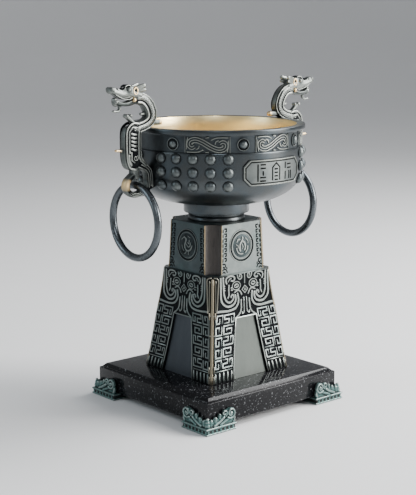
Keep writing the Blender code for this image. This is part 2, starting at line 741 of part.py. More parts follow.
def build_bowl(material):
    """The bowl with its ornament joined on."""
    bowl = make_object("bowl", build_bowl_body(), material)
    ornament = bmesh.new()
    for facing in (0.0, math.pi):
        add_studs(ornament, facing)
        add_frieze(ornament, facing)
        add_name_plate(ornament, facing)
    strokes = bmesh.new()
    add_plate_strokes(strokes, 0.0)
    add_boolean(bowl, make_tool("bowl_ornament", ornament, material), "UNION")
    add_boolean(bowl, make_tool("plate_strokes", strokes, material), "UNION")
    merge_flats(bowl)


def handle_place(u, v, depth):
    """Place on the right handle: u units out from the rim, v units up from it, depth along Y."""
    return Vector((RIM_RADIUS + u * HANDLE_UNIT, depth, RIM_TOP + v * HANDLE_UNIT))


def handle_strokes():
    """The dragon's strokes, its body first: (thickness share, steps, points as (out, up, width))."""
    hook_radius = (RING_TUBE_RADIUS + HOOK_CLEARANCE + HOOK_THICKNESS / 2) / HANDLE_UNIT
    hook_width = HOOK_THICKNESS / HANDLE_UNIT
    hook = [(-1.5, -58.0, 7.6), (0.6, -66.0, 8.2), (5.4, -71.6, hook_width)]
    for angle in (250.0, 280.0, 310.0, 340.0, 370.0, 395.0):
        turn = math.radians(angle)
        out = PIVOT_OUT + (hook_radius + HOOK_STRETCH) * math.cos(turn)
        up = -PIVOT_DOWN + (hook_radius + HOOK_DROP) * math.sin(turn)
        hook.append((out, up, hook_width))
    hook.append((PIVOT_OUT + 4.4, -50.6, hook_width))
    reach = (RIM_RADIUS - BELLY_RADIUS + HANDLE_ROOT_REACH) / HANDLE_UNIT
    block_end = -PIVOT_DOWN + (RING_TUBE_RADIUS + HOOK_CLEARANCE) / HANDLE_UNIT
    return [
        (1.05, 1, [(20.9, 5.4, 9.0), (21.8, 1.0, 21.0), (22.4, -8.0, 22.2), (22.3, -26.0, 22.2),
                   (21.6, -38.0, 22.6), (20.6, -42.6, 17.0)]),
        (1.00, 2, [(14.0, 33.4, 14.0), (3.5, 29.6, 14.6), (-2.8, 21.8, 15.4), (-4.8, 14.6, 15.6),
                   (-1.6, 8.0, 13.6), (6.5, 3.6, 12.4), (15.0, 1.4, 14.0), (21.5, -4.0, 20.0)]),
        (1.02, 1, [(16.0, -37.5, 12.0), (6.0, -42.0, 9.6), (0.0, -48.0, 8.4), (-1.6, -60.0, 7.4)]),
        (0.96, 1, [(-reach / 2, -44.0, reach + 4.0), (-reach / 2, -69.0, reach + 2.0)]),
        (0.92, 1, hook),
        (0.80, 1, [(18.2, -41.0, 12.0), (17.1, block_end, 10.6)]),
        (0.53, 1, [(16.6, 5.4, 5.0), (22.5, 10.0, 4.2), (28.0, 13.0, 4.0)]),
        (0.34, 1, [(3.0, 15.6, 4.4), (9.0, 15.8, 3.4)]),
        (0.46, 1, [(-8.0, 5.4, 5.6), (-20.8, 4.9, 4.8)]),
        (0.36, 1, [(31.0, -23.6, 4.4), (39.6, -22.2, 1.8)]),
        (1.12, 1, [(11.0, 37.6, 10.0), (18.0, 39.6, 13.4), (27.6, 40.6, 15.0), (35.0, 40.2, 11.6),
                   (41.5, 40.8, 8.8), (47.0, 42.0, 7.6)]),
        (0.84, 1, [(16.0, 32.0, 10.0), (24.0, 28.8, 6.6), (36.0, 28.0, 4.6), (42.0, 30.0, 4.4)]),
        (0.32, 1, [(37.6, 28.0, 3.6), (37.0, 22.4, 3.4), (40.4, 20.2, 3.0), (46.0, 21.4, 2.4)]),
    ]


def handle_knobs():
    """Round ends of the dragon: (thickness share, out, up, radius) in units."""
    return [(0.62, 28.8, 13.2, 3.6), (0.95, 49.4, 43.2, 5.0), (0.56, 43.6, 31.0, 4.0)]


def handle_bodies(strokes):
    """The dragon's limbs, knobs, horns and eyes, each a body of its own."""
    half = HANDLE_THICKNESS / 2
    bodies = []
    for share, steps, path in strokes:
        bm = bmesh.new()
        add_stroke(bm, smooth(path, steps), handle_place, -half * share, half * share)
        bodies.append(bm)
    for share, out, up, radius in handle_knobs():
        bm = bmesh.new()
        outline = polygon((out, up), (radius, radius), 7, 0.2)
        add_prism(bm, outline, handle_place, -half * share, half * share)
        bodies.append(bm)
    for side in (-1, 1):
        root = handle_place(22.0, 44.0, side * half * 0.60)
        tip = handle_place(5.6, 48.4, side * half * 1.15)
        lean = (tip - root).to_track_quat("Z", "Y").to_matrix().to_4x4()
        length = (tip - root).length
        horn = [(0.0, 0.0), (2.6 * HANDLE_UNIT, 0.0), (2.2 * HANDLE_UNIT, length * 0.8), (0.0, length)]
        bm = bmesh.new()
        add_turned(bm, horn, 5, Matrix.Translation(root) @ lean)
        eye = Matrix.Translation(handle_place(26.0, 42.6, side * half * 1.08))
        bead = [(0.0, -EYE_RADIUS), (EYE_RADIUS, 0.0), (0.0, EYE_RADIUS)]
        bead_body = bmesh.new()
        add_turned(bead_body, bead, 6, eye)
        bodies += [bm, bead_body]
    return bodies


def build_handles(material):
    """Two dragon plates, the left one turned half round, each fitted to the bowl's side."""
    clearance = bmesh.new()
    outer = bowl_outer(FIT_GAP)
    profile = [(0.0, outer[0][1]), *outer, (0.0, outer[-1][1])]
    add_turned(clearance, profile, BOWL_SIDES, bowl_turn())
    cutter = make_tool("bowl_clearance", clearance, material)
    half = HANDLE_THICKNESS / 2
    for name, turn in (("dragon_handle_right", Matrix()), ("dragon_handle_left", quarter_turn(2))):
        body, *limbs = handle_strokes()
        share, steps, path = body
        bm = bmesh.new()
        add_stroke(bm, smooth(path, steps), handle_place, -half * share, half * share)
        handle = make_object(name, bm, material)
        handle.matrix_world = turn
        add_union(handle, name + "_limbs", handle_bodies(limbs), material, turn)
        add_boolean(handle, cutter, "DIFFERENCE")
        merge_flats(handle)


def build_rings(material):
    """Two round rings that hang in the hooks, each with its origin on its hinge axis."""
    for name, side in (("ring_left", -1), ("ring_right", 1)):
        bm = bmesh.new()
        lowest = (0.0, -2 * RING_CENTRE_RADIUS)
        section = polygon(lowest, (RING_TUBE_RADIUS, RING_TUBE_RADIUS), RING_TUBE_SIDES)
        points = [bm.verts.new((x, 0.0, z)) for x, z in section]
        edges = [bm.edges.new((points[index - 1], points[index])) for index in range(RING_TUBE_SIDES)]
        bmesh.ops.spin(
            bm,
            geom=points + edges,
            cent=(0.0, 0.0, -RING_CENTRE_RADIUS),
            axis=(1.0, 0.0, 0.0),
            angle=math.tau,
            steps=RING_SIDES,
            use_merge=True,
        )
        ring = make_object(name, bm, material)
        ring.location = (side * PIVOT_X, 0.0, PIVOT_Z)


def main():
    clear_scene()
    granite = make_material("black_granite", (0.030, 0.032, 0.036), 0.25, 0.0)
    verdigris = make_material("verdigris_bronze", (0.16, 0.30, 0.28), 0.55, 0.8)
    bronze = make_material("dark_bronze", (0.14, 0.16, 0.17), 0.42, 0.9)
    bowl_bronze = make_material("bowl_bronze", (0.12, 0.14, 0.16), 0.40, 0.9)
    handle_bronze = make_material("handle_bronze", (0.20, 0.22, 0.22), 0.45, 0.9)
    ring_steel = make_material("polished_ring", (0.30, 0.33, 0.36), 0.22, 1.0)
    build_slab(granite)
    build_feet(verdigris)
    build_pedestal(bronze)
    build_bowl(bowl_bronze)
    build_handles(handle_bronze)
    build_rings(ring_steel)


main()
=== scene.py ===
"""A bronze bowl with dragon handles and hanging rings, on a carved pedestal and a granite base.

Lengths are metres and Z is up. The floor is at zero, and the front, with the name plate,
looks along -Y. The handles stand on the X axis.
"""

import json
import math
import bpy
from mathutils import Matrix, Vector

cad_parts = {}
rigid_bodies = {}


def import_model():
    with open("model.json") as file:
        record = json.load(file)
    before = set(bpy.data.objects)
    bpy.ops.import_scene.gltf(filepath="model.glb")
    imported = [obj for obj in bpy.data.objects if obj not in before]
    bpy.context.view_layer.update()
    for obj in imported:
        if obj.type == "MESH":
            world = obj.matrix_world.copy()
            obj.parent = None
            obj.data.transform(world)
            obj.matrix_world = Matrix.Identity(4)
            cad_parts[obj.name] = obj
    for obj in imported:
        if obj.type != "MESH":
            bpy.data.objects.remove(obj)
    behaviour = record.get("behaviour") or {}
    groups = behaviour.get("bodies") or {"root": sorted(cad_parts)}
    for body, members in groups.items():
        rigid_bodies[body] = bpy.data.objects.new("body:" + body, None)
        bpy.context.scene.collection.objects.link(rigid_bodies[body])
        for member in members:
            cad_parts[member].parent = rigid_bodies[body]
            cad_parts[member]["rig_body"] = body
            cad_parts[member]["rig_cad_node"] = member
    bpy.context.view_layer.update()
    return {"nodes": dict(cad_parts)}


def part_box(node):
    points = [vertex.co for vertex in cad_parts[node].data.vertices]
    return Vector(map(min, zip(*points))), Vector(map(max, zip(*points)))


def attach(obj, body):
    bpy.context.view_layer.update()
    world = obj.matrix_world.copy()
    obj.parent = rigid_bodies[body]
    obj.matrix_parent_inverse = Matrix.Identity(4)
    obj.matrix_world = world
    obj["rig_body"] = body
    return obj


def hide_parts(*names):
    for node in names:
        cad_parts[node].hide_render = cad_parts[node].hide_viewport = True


bl_info = {
    "name": "Dragon Bowl on Pedestal",
    "version": (1, 0, 0),
    "blender": (4, 5, 0),
    "location": "View3D > Sidebar > Dragon Bowl",
    "description": "Models and dresses a bronze bowl with dragon handles on a carved pedestal",
    "category": "Add Mesh",
}

import bpy
import numpy as np
from bpy.props import FloatProperty, FloatVectorProperty, PointerProperty
from mathutils import Matrix, Vector

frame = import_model()

SLAB_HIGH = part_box("granite_base")[1]
PEDESTAL_LOW, PEDESTAL_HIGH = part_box("pedestal")
BOWL_LOW, BOWL_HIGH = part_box("bowl")
FOOT_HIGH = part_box("corner_foot_front_right")[1]

MM = 0.001
VESSEL = "vessel"
WAIST = PEDESTAL_LOW.z + 119.8 * MM
UPPER_BOTTOM = WAIST + 0.8 * MM
PANEL_TOP = PEDESTAL_LOW.z + 69.0 * MM
FLUTE_RADIUS = 13.0 * MM
RIM_TOP = BOWL_HIGH.z
FRIEZE_TOP = RIM_TOP - 6.5 * MM
FRIEZE_BOTTOM = FRIEZE_TOP - 18.5 * MM
BELLY_TOP = FRIEZE_BOTTOM - 28.0 * MM
BELLY_BOTTOM = BELLY_TOP - 37.0 * MM
BELLY_POWER = 2.1
BOWL_FOOT_RADIUS = 38.3 * MM
FRIEZE_PITCH = math.radians(47.0)
PIVOT = Vector((119.5 * MM, 0.0, RIM_TOP - 62.0 * MM))


def length_setting(name, description, default):
    """A size in metres that the panel shows."""
    return FloatProperty(name=name, description=description, default=default, min=0.0, subtype="DISTANCE",
                         unit="LENGTH", precision=5)


def colour_setting(name, description, default):
    """A colour that the panel shows."""
    return FloatVectorProperty(name=name, description=description, default=default, min=0.0, max=1.0,
                               subtype="COLOR", size=3)


class DragonBowlSizes(bpy.types.PropertyGroup):
    """Sizes of the bowl, its handles and its pedestal."""

    base_half: length_setting("Pedestal base", "Half width of the pedestal on the granite", 0.0610)
    waist_half: length_setting("Pedestal waist", "Half width of the lower pedestal at its top", 0.0485)
    panel_depth: length_setting("Panel depth", "How deep the plain panels are sunk", 0.0020)
    line_height: length_setting("Carving height", "How far the carved lines stand out", 0.0009)
    belly_radius: length_setting("Belly radius", "Outer radius of the bowl's side", 0.0986)
    frieze_radius: length_setting("Frieze radius", "Outer radius of the frieze's ground", 0.0963)
    rim_radius: length_setting("Rim radius", "Outer radius of the rim", 0.1024)
    bowl_wall: length_setting("Bowl wall", "Thickness of the bowl's side", 0.0060)
    stud_radius: length_setting("Stud radius", "Radius of the studs on the bowl's side", 0.0058)
    stud_height: length_setting("Stud height", "How far the studs stand out", 0.0048)
    handle_thickness: length_setting("Handle thickness", "Thickness of the dragons", 0.0112)
    ring_radius: length_setting("Ring radius", "Radius of the hanging rings at their tube's middle", 0.0407)
    ring_tube: length_setting("Ring tube", "Radius of the hanging rings' tube", 0.0043)


class DragonBowlColours(bpy.types.PropertyGroup):
    """Colours of the bronze, the patina and the granite."""

    recess: colour_setting("Recess", "Dark patina in the carving's ground", (0.004, 0.005, 0.006))
    bronze: colour_setting("Bronze", "Dark bronze of the plain faces", (0.060, 0.078, 0.082))
    high: colour_setting("Worn high", "Pale metal where the carving is rubbed", (0.225, 0.242, 0.228))
    satin: colour_setting("Satin", "Smooth dark metal of the bowl's outside", (0.060, 0.072, 0.080))
    brass: colour_setting("Brass", "Bare metal on the dragons' tips", (0.720, 0.530, 0.280))
    gold: colour_setting("Inside", "Satin metal inside the bowl", (0.900, 0.735, 0.410))
    verdigris: colour_setting("Verdigris", "Blue-green patina of the feet", (0.031, 0.094, 0.087))
    granite: colour_setting("Granite", "Ground colour of the stone", (0.006, 0.006, 0.007))
    speck: colour_setting("Speck", "Pale grains of the stone", (0.240, 0.250, 0.260))
    ring: colour_setting("Ring", "Dark steel of the hanging rings", (0.088, 0.098, 0.106))
    floor: colour_setting("Floor", "Pale floor round the piece", (0.820, 0.822, 0.825))


def clear_selection():
    """Leave object mode's selection empty."""
    if bpy.context.mode != "OBJECT":
        bpy.ops.object.mode_set(mode="OBJECT")
    bpy.ops.object.select_all(action="DESELECT")


def pick(piece):
    """Make one piece the only selected and active one."""
    clear_selection()
    piece.select_set(True)
    bpy.context.view_layer.objects.active = piece


def settle(piece):
    """Put a piece's place into its mesh."""
    pick(piece)
    bpy.ops.object.transform_apply(location=True, rotation=True, scale=True)


def new_piece(name, points, faces):
    """A mesh object from points and faces, with its faces turned outwards."""
    mesh = bpy.data.meshes.new(name)
    mesh.from_pydata([tuple(point) for point in points], [], faces)
    piece = bpy.data.objects.new(name, mesh)
    bpy.context.scene.collection.objects.link(piece)
    pick(piece)
    bpy.ops.object.mode_set(mode="EDIT")
    bpy.ops.mesh.select_all(action="SELECT")
    bpy.ops.mesh.normals_make_consistent(inside=False)
    bpy.ops.object.mode_set(mode="OBJECT")
    return piece


def turned(name, profile, steps):
    """A body turned about the Z axis from (radius, height) points."""
    mesh = bpy.data.meshes.new(name)
    edges = [(index, index + 1) for index in range(len(profile) - 1)]
    mesh.from_pydata([(radius, 0.0, height) for radius, height in profile], edges, [])
    piece = bpy.data.objects.new(name, mesh)
    bpy.context.scene.collection.objects.link(piece)
    pick(piece)
    bpy.ops.object.mode_set(mode="EDIT")
    bpy.ops.mesh.select_all(action="SELECT")
    bpy.ops.mesh.spin(steps=steps, angle=math.tau, center=(0, 0, 0), axis=(0, 0, 1))
    bpy.ops.mesh.select_all(action="SELECT")
    bpy.ops.mesh.remove_doubles(threshold=1e-6)
    bpy.ops.mesh.normals_make_consistent(inside=False)
    bpy.ops.object.mode_set(mode="OBJECT")
    return piece


def mark(piece, name, values):
    """Keep one number for each point of a piece, for its material."""
    attribute = piece.data.attributes.get(name) or piece.data.attributes.new(name, "FLOAT", "POINT")
    attribute.data.foreach_set("value", np.asarray(values, dtype=np.float32))


def places(piece):
    """The points of a piece as an array."""
    co = np.zeros(len(piece.data.vertices) * 3, dtype=np.float32)
    piece.data.vertices.foreach_get("co", co)
    return co.reshape(-1, 3).astype(float)


def mark_by_relief(piece, strength, spread=2):
    """Mark raised edges as worn and hollows as dark, from how each point stands to its neighbours."""
    co = places(piece)
    count = len(co)
    normals = np.zeros(count * 3, dtype=np.float32)
    piece.data.vertices.foreach_get("normal", normals)
    normals = normals.reshape(-1, 3)
    pairs = np.zeros(len(piece.data.edges) * 2, dtype=np.int32)
    piece.data.edges.foreach_get("vertices", pairs)
    pairs = pairs.reshape(-1, 2)
    ends = np.concatenate([pairs[:, 0], pairs[:, 1]])
    others = np.concatenate([pairs[:, 1], pairs[:, 0]])
    degree = np.maximum(np.bincount(ends, minlength=count), 1)

    def mean_of_neighbours(values):
        return np.bincount(ends, weights=values[others], minlength=count) / degree

    middle = np.stack([mean_of_neighbours(co[:, axis]) for axis in range(3)], axis=1)
    lift = ((co - middle) * normals).sum(axis=1)
    spacing = np.linalg.norm(co[pairs[:, 0]] - co[pairs[:, 1]], axis=1).mean()
    values = lift / spacing
    for _ in range(spread):
        values = 0.5 * values + 0.5 * mean_of_neighbours(values)
    worn = np.clip(0.5 + strength * values, 0.0, 1.0)
    mark(piece, "wear_and_shade", worn)
    return worn


def soften(piece, degrees):
    """Shade a piece smooth, but keep edges sharper than an angle."""
    pick(piece)
    bpy.ops.object.shade_smooth_by_angle(angle=math.radians(degrees))


def join(name, pieces):
    """Join pieces into one."""
    clear_selection()
    for piece in pieces:
        piece.select_set(True)
    bpy.context.view_layer.objects.active = pieces[0]
    bpy.ops.object.join()
    joined = bpy.context.view_layer.objects.active
    joined.name = name
    joined.data.name = name
    return joined


def copies(source, matrices):
    """Copies of a piece, each with its own mesh moved by a matrix; the source goes."""
    made = []
    for matrix in matrices:
        copy = source.copy()
        copy.data = source.data.copy()
        copy.data.transform(matrix)
        if matrix.determinant() < 0:
            copy.data.flip_normals()
        bpy.context.scene.collection.objects.link(copy)
        made.append(copy)
    bpy.data.objects.remove(source)
    return made


def apply_modifier(piece, kind, **settings):
    """Add a modifier with its settings and apply it."""
    modifier = piece.modifiers.new(kind.lower(), kind)
    for name, value in settings.items():
        setattr(modifier, name, value)
    pick(piece)
    bpy.ops.object.modifier_apply(modifier=modifier.name)


def dress(piece, materials, slot, body, *nodes):
    """Give a finished piece its materials, its body and the nodes it stands for; the slot argument is not
    used.
    """
    kinds = [polygon.material_index for polygon in piece.data.polygons]
    piece.data.materials.clear()
    for material in materials:
        piece.data.materials.append(material)
    piece.data.polygons.foreach_set("material_index", [min(kind, len(materials) - 1) for kind in kinds])
    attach(piece, body)
    if nodes:
        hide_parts(*nodes)


def curve_through(points, steps):
    """Smooth path through points that are tuples of numbers."""
    result = []
    last = len(points) - 1
    for index in range(last):
        before = Vector(points[max(index - 1, 0)])
        start = Vector(points[index])
        end = Vector(points[index + 1])
        after = Vector(points[min(index + 2, last)])
        for step in range(steps):
            t = step / steps
            bend = 2 * before - 5 * start + 4 * end - after
            twist = 3 * (start - end) + after - before
            result.append(tuple(start + 0.5 * t * (end - before + t * (bend + t * twist))))
    result.append(tuple(points[last]))
    return result


def circle(centre, radii, sides, turn=0.0):
    """Closed path round a centre."""
    angles = [turn + math.tau * index / sides for index in range(sides)]
    return [(centre[0] + radii[0] * math.cos(a), centre[1] + radii[1] * math.sin(a)) for a in angles]


def spiral(centre, radius, turns, start, points, shrink=0.18):
    """Path that winds in from a radius to its middle."""
    path = []
    for index in range(points + 1):
        share = index / points
        angle = start + math.tau * turns * share
        reach = radius * (1.0 - (1.0 - shrink) * share)
        path.append((centre[0] + reach * math.cos(angle), centre[1] + reach * math.sin(angle)))
    return path


def path_sides(path, closed):
    """For each point of a path, the unit vector to its left and how far a mitre stretches it."""
    count = len(path)
    sides = []
    for index in range(count):
        before = path[(index - 1) % count] if closed else path[max(index - 1, 0)]
        after = path[(index + 1) % count] if closed else path[min(index + 1, count - 1)]
        here = path[index]
        come = Vector((here[0] - before[0], here[1] - before[1]))
        leave = Vector((after[0] - here[0], after[1] - here[1]))
        come = come.normalized() if come.length > 1e-9 else leave.normalized()
        leave = leave.normalized() if leave.length > 1e-9 else come
        first = Vector((-come.y, come.x))
        middle = (first + Vector((-leave.y, leave.x))).normalized()
        sides.append((middle, 1.0 / max(middle.dot(first), 0.6)))
    return sides


def shifted(path, share, closed=False):
    """A path moved to its left by a share of its own half width, with the width kept."""
    moved = []
    for point, (side, stretch) in zip(path, path_sides(path, closed)):
        reach = point[2] / 2 * share * stretch
        moved.append((point[0] + side.x * reach, point[1] + side.y * reach))
    return moved


class Carving:
    """Raised lines and rounded limbs gathered for one mesh, with how worn and how brassy each point is; the
    wear value also holds painted shade.
    """

    def __init__(self):
        self.points = []
        self.faces = []
        self.wear_and_shade = []
        self.gilt = []
        # Painted shade: below one, this factor darkens every line's wear value, for the shaded side faces of
        # the pedestal.
        self.side_shade = 1.0

    def add_rings(self, rings, closed):
        """Skin a row of rings of points and close its ends."""
        size = len(rings[0])
        first = len(self.points)
        for ring in rings:
            for point, wear_and_shade, gilt in ring:
                self.points.append(point)
                self.wear_and_shade.append(wear_and_shade)
                self.gilt.append(gilt)
        count = len(rings)
        for row in range(count if closed else count - 1):
            here = first + row * size
            there = first + (row + 1) % count * size
            for index in range(size):
                after = (index + 1) % size
                self.faces.append((here + index, here + after, there + after, there + index))
        if not closed:
            self.faces.append(tuple(range(first, first + size)))
            self.faces.append(tuple(range(first + (count - 1) * size, first + count * size)))

    def line(self, path, place, width, height, root=0.4 * MM, edge=0.4 * MM, closed=False, wear_and_shade=1.0,
             gilt=0.0):
        """A raised line; place(u, v, depth) gives a point on the face that it lies on."""
        path = [tuple(point) for point in path]
        rises = [1.0] * len(path)
        if not closed:
            start = Vector((path[0][0] - path[1][0], path[0][1] - path[1][1])).normalized() * width * 0.25
            end = Vector((path[-1][0] - path[-2][0], path[-1][1] - path[-2][1])).normalized() * width * 0.25
            path = [(path[0][0] + start.x, path[0][1] + start.y), *path,
                    (path[-1][0] + end.x, path[-1][1] + end.y)]
            rises = [0.55, *rises, 0.55]
        rings = []
        for point, rise, (side, stretch) in zip(path, rises, path_sides(path, closed)):
            half = (point[2] if len(point) > 2 else width) / 2 * (0.72 if rise < 1.0 else 1.0)
            slope = min(edge, 0.45 * half)
            top = height * rise
            profile = [(-half * 1.05, -root, 0.0), (-half, top * 0.4, 0.25), (slope - half, top, 1.0),
                       (half - slope, top, 1.0), (half, top * 0.4, 0.25), (half * 1.05, -root, 0.0)]
            ring = []
            for across, depth, share in profile:
                reach = across * stretch
                spot = place(point[0] + side.x * reach, point[1] + side.y * reach, depth)
                # The side-shade factor paints shade into the line's wear value.
                ring.append((spot, wear_and_shade * share * self.side_shade, gilt))
            rings.append(ring)
        self.add_rings(rings, closed)

    def limb(self, path, place, thickness, roundness=3.0, gilt=0.0, blunt=0.5):
        """A rounded limb through (u, v, width) points, with round ends."""
        path = [tuple(point) for point in path]
        scales = [1.0] * len(path)
        for end, near, order in ((path[0], path[1], "start"), (path[-1], path[-2], "end")):
            out = Vector((end[0] - near[0], end[1] - near[1])).normalized() * end[2] * blunt
            tips = [((end[0] + out.x * reach, end[1] + out.y * reach, end[2]), scale)
                    for reach, scale in ((0.45, 0.86), (0.80, 0.58), (0.98, 0.22))]
            if order == "start":
                path = [tip for tip, _ in reversed(tips)] + path
                scales = [scale for _, scale in reversed(tips)] + scales
            else:
                path = path + [tip for tip, _ in tips]
                scales = scales + [scale for _, scale in tips]
        rings = []
        for point, scale, (side, stretch) in zip(path, scales, path_sides(path, False)):
            ring = []
            for index in range(16):
                angle = math.tau * index / 16
                c, s = math.cos(angle), math.sin(angle)
                across = math.copysign(abs(c) ** (2 / roundness), c) * point[2] / 2 * scale * stretch
                depth = math.copysign(abs(s) ** (2 / roundness), s) * thickness / 2 * math.sqrt(scale)
                ring.append((place(point[0] + side.x * across, point[1] + side.y * across, depth), 0.5, gilt))
            rings.append(ring)
        self.add_rings(rings, False)

    def ball(self, centre, radius, gilt=0.0, wear_and_shade=0.8):
        """A small round knob, as rows of rings."""
        rings = []
        for row in range(1, 8):
            tilt = math.pi * row / 8
            ring = []
            for index in range(12):
                angle = math.tau * index / 12
                out = Vector((math.sin(tilt) * math.cos(angle), math.sin(tilt) * math.sin(angle),
                              math.cos(tilt)))
                ring.append((centre + out * radius, wear_and_shade, gilt))
            rings.append(ring)
        self.add_rings(rings, False)

    def piece(self, name):
        """The gathered bodies as one object."""
        made = new_piece(name, self.points, self.faces)
        mark(made, "wear_and_shade", self.wear_and_shade)
        mark(made, "gilt", self.gilt)
        return made


class Nodes:
    """Short way to place and link the nodes of one material."""

    def __init__(self, name):
        self.material = bpy.data.materials.new(name)
        self.material.use_nodes = True
        self.tree = self.material.node_tree
        self.shader = self.tree.nodes["Principled BSDF"]

    def add(self, kind, inputs=None, **settings):
        """A node with settings; inputs may be values or other nodes' sockets."""
        node = self.tree.nodes.new(kind)
        for name, value in settings.items():
            setattr(node, name, value)
        for name, value in (inputs or {}).items():
            if isinstance(value, bpy.types.NodeSocket):
                self.tree.links.new(value, node.inputs[name])
            else:
                node.inputs[name].default_value = value
        return node

    def link(self, socket, name):
        """Link a socket to the shader."""
        self.tree.links.new(socket, self.shader.inputs[name])

    def attribute(self, name):
        """A number kept on the piece's points."""
        return self.add("ShaderNodeAttribute", attribute_name=name).outputs["Fac"]

    def noise(self, scale, detail=3.0, stretch=(1, 1, 1), roughness=0.55):
        """Noise over the piece, in grains for each metre, stretched along its axes."""
        spot = self.add("ShaderNodeTexCoord").outputs["Object"]
        moved = self.add("ShaderNodeMapping", {"Vector": spot, "Scale": stretch}).outputs["Vector"]
        node = self.add("ShaderNodeTexNoise", {"Vector": moved, "Scale": scale, "Detail": detail,
                                               "Roughness": roughness})
        return node.outputs["Fac"]

    def ramp(self, value, stops):
        """Colours along a value, from (place, colour) stops."""
        node = self.add("ShaderNodeValToRGB", {"Fac": value})
        elements = node.color_ramp.elements
        while len(elements) < len(stops):
            elements.new(0.5)
        for element, (place, colour) in zip(elements, stops):
            element.position = place
            element.color = (*colour, 1.0) if len(colour) == 3 else colour
        return node.outputs["Color"]

    def math(self, operation, first, second):
        """Sum, product or the like of two numbers."""
        node = self.add("ShaderNodeMath", operation=operation)
        for index, value in enumerate((first, second)):
            if isinstance(value, bpy.types.NodeSocket):
                self.tree.links.new(value, node.inputs[index])
            else:
                node.inputs[index].default_value = value
        return node.outputs["Value"]

    def mix(self, share, first, second):
        """Mix of two colours by a share."""
        node = self.add("ShaderNodeMix", data_type="RGBA")
        for index, value in ((0, share), (6, first), (7, second)):
            if isinstance(value, bpy.types.NodeSocket):
                self.tree.links.new(value, node.inputs[index])
            elif index:
                node.inputs[index].default_value = (*value, 1.0)
            else:
                node.inputs[index].default_value = value
        return node.outputs[2]

    def range(self, value, low, high, out_low, out_high):
        """Value carried from one range to another, kept inside it."""
        node = self.add("ShaderNodeMapRange", {"Value": value, "From Min": low, "From Max": high,
                                               "To Min": out_low, "To Max": out_high})
        return node.outputs["Result"]

    def bump(self, value, strength, distance):
        """Small surface relief from a value."""
        node = self.add("ShaderNodeBump", {"Height": value, "Strength": strength, "Distance": distance})
        self.link(node.outputs["Normal"], "Normal")


def make_bronze(name, colours, recess, middle, high, tint, shine=0.36):
    """Cast bronze: dark in its hollows, worn pale on its highs, with clouds of patina."""
    nodes = Nodes(name)
    clouds = nodes.noise(70.0, 4.0)
    grain = nodes.noise(900.0, 3.0)
    # The wear value holds wear, hollow patina and painted shade: it is lowered on the pedestal's side faces
    # and on flat dark groove ribbons.
    worn = nodes.attribute("wear_and_shade")
    uneven = nodes.math("MULTIPLY", nodes.math("SUBTRACT", clouds, 0.5), 0.34)
    worn = nodes.math("ADD", worn, uneven)
    metal = nodes.ramp(worn, [(0.16, recess), (0.46, middle), (0.88, high)])
    patches = nodes.range(nodes.noise(28.0, 3.0), 0.48, 0.72, 0.0, 0.55)
    patches = nodes.math("MULTIPLY", patches, nodes.range(worn, 0.2, 0.5, 0.0, 1.0))
    metal = nodes.mix(patches, metal, nodes.mix(0.5, metal, tint))
    metal = nodes.mix(nodes.attribute("gilt"), metal, tuple(colours.brass))
    nodes.link(metal, "Base Color")
    nodes.link(nodes.range(worn, 0.0, 0.55, 0.35, 1.0), "Metallic")
    nodes.link(nodes.range(worn, 0.1, 0.5, 0.06, 0.5), "Specular IOR Level")
    rough = nodes.range(worn, 0.0, 1.0, shine + 0.24, shine - 0.06)
    rough = nodes.math("ADD", rough, nodes.math("MULTIPLY", nodes.math("SUBTRACT", grain, 0.5), 0.16))
    nodes.link(rough, "Roughness")
    nodes.bump(grain, 0.16, 0.0003)
    return nodes.material


def make_brushed(name, low, high, stretch, shine):
    """Metal with fine brush lines, stretched along one axis."""
    nodes = Nodes(name)
    lines = nodes.noise(1400.0, 2.0, stretch)
    broad = nodes.noise(60.0, 3.0, (1.0, 1.0, 0.25))
    nodes.link(nodes.mix(nodes.math("MULTIPLY", nodes.math("ADD", lines, broad), 0.5), low, high),
               "Base Color")
    nodes.link(nodes.range(lines, 0.3, 0.7, shine - 0.06, shine + 0.10), "Roughness")
    nodes.shader.inputs["Metallic"].default_value = 1.0
    nodes.bump(lines, 0.22, 0.00012)
    return nodes.material


def make_satin(colours):
    """Smooth dark metal with faint cloudy patina."""
    nodes = Nodes("satin_bronze")
    tone = tuple(colours.satin)
    clouds = nodes.noise(45.0, 4.0)
    grain = nodes.noise(1200.0, 3.0)
    brown = (tone[0] * 1.15, tone[1] * 0.95, tone[2] * 0.80)
    metal = nodes.mix(nodes.range(clouds, 0.35, 0.70, 0.0, 0.8), tone, brown)
    nodes.link(nodes.mix(nodes.range(grain, 0.45, 0.70, 0.0, 0.35), metal,
                         tuple(part * 1.7 for part in tone)), "Base Color")
    nodes.link(nodes.range(clouds, 0.30, 0.70, 0.27, 0.38), "Roughness")
    nodes.shader.inputs["Metallic"].default_value = 1.0
    nodes.bump(grain, 0.08, 0.0002)
    return nodes.material


def make_granite(colours):
    """Polished black granite with pale and grey grains."""
    nodes = Nodes("polished_black_granite")
    spot = nodes.add("ShaderNodeTexCoord").outputs["Object"]
    cells = nodes.add("ShaderNodeTexVoronoi", {"Vector": spot, "Scale": 780.0})
    tone = nodes.add("ShaderNodeSeparateColor", {"Color": cells.outputs["Color"]}).outputs["Red"]
    grains = nodes.range(tone, 0.86, 0.98, 0.0, 1.0)
    drift = nodes.range(nodes.noise(210.0, 5.0, roughness=0.7), 0.46, 0.66, 0.0, 1.0)
    share = nodes.math("MULTIPLY", grains, drift)
    fine = nodes.range(nodes.noise(1500.0, 2.0), 0.60, 0.74, 0.0, 0.45)
    stone = nodes.mix(fine, tuple(colours.granite), (0.040, 0.042, 0.046))
    nodes.link(nodes.mix(share, stone, tuple(colours.speck)), "Base Color")
    nodes.link(nodes.range(share, 0.0, 1.0, 0.12, 0.24), "Roughness")
    nodes.shader.inputs["Specular IOR Level"].default_value = 0.15
    return nodes.material


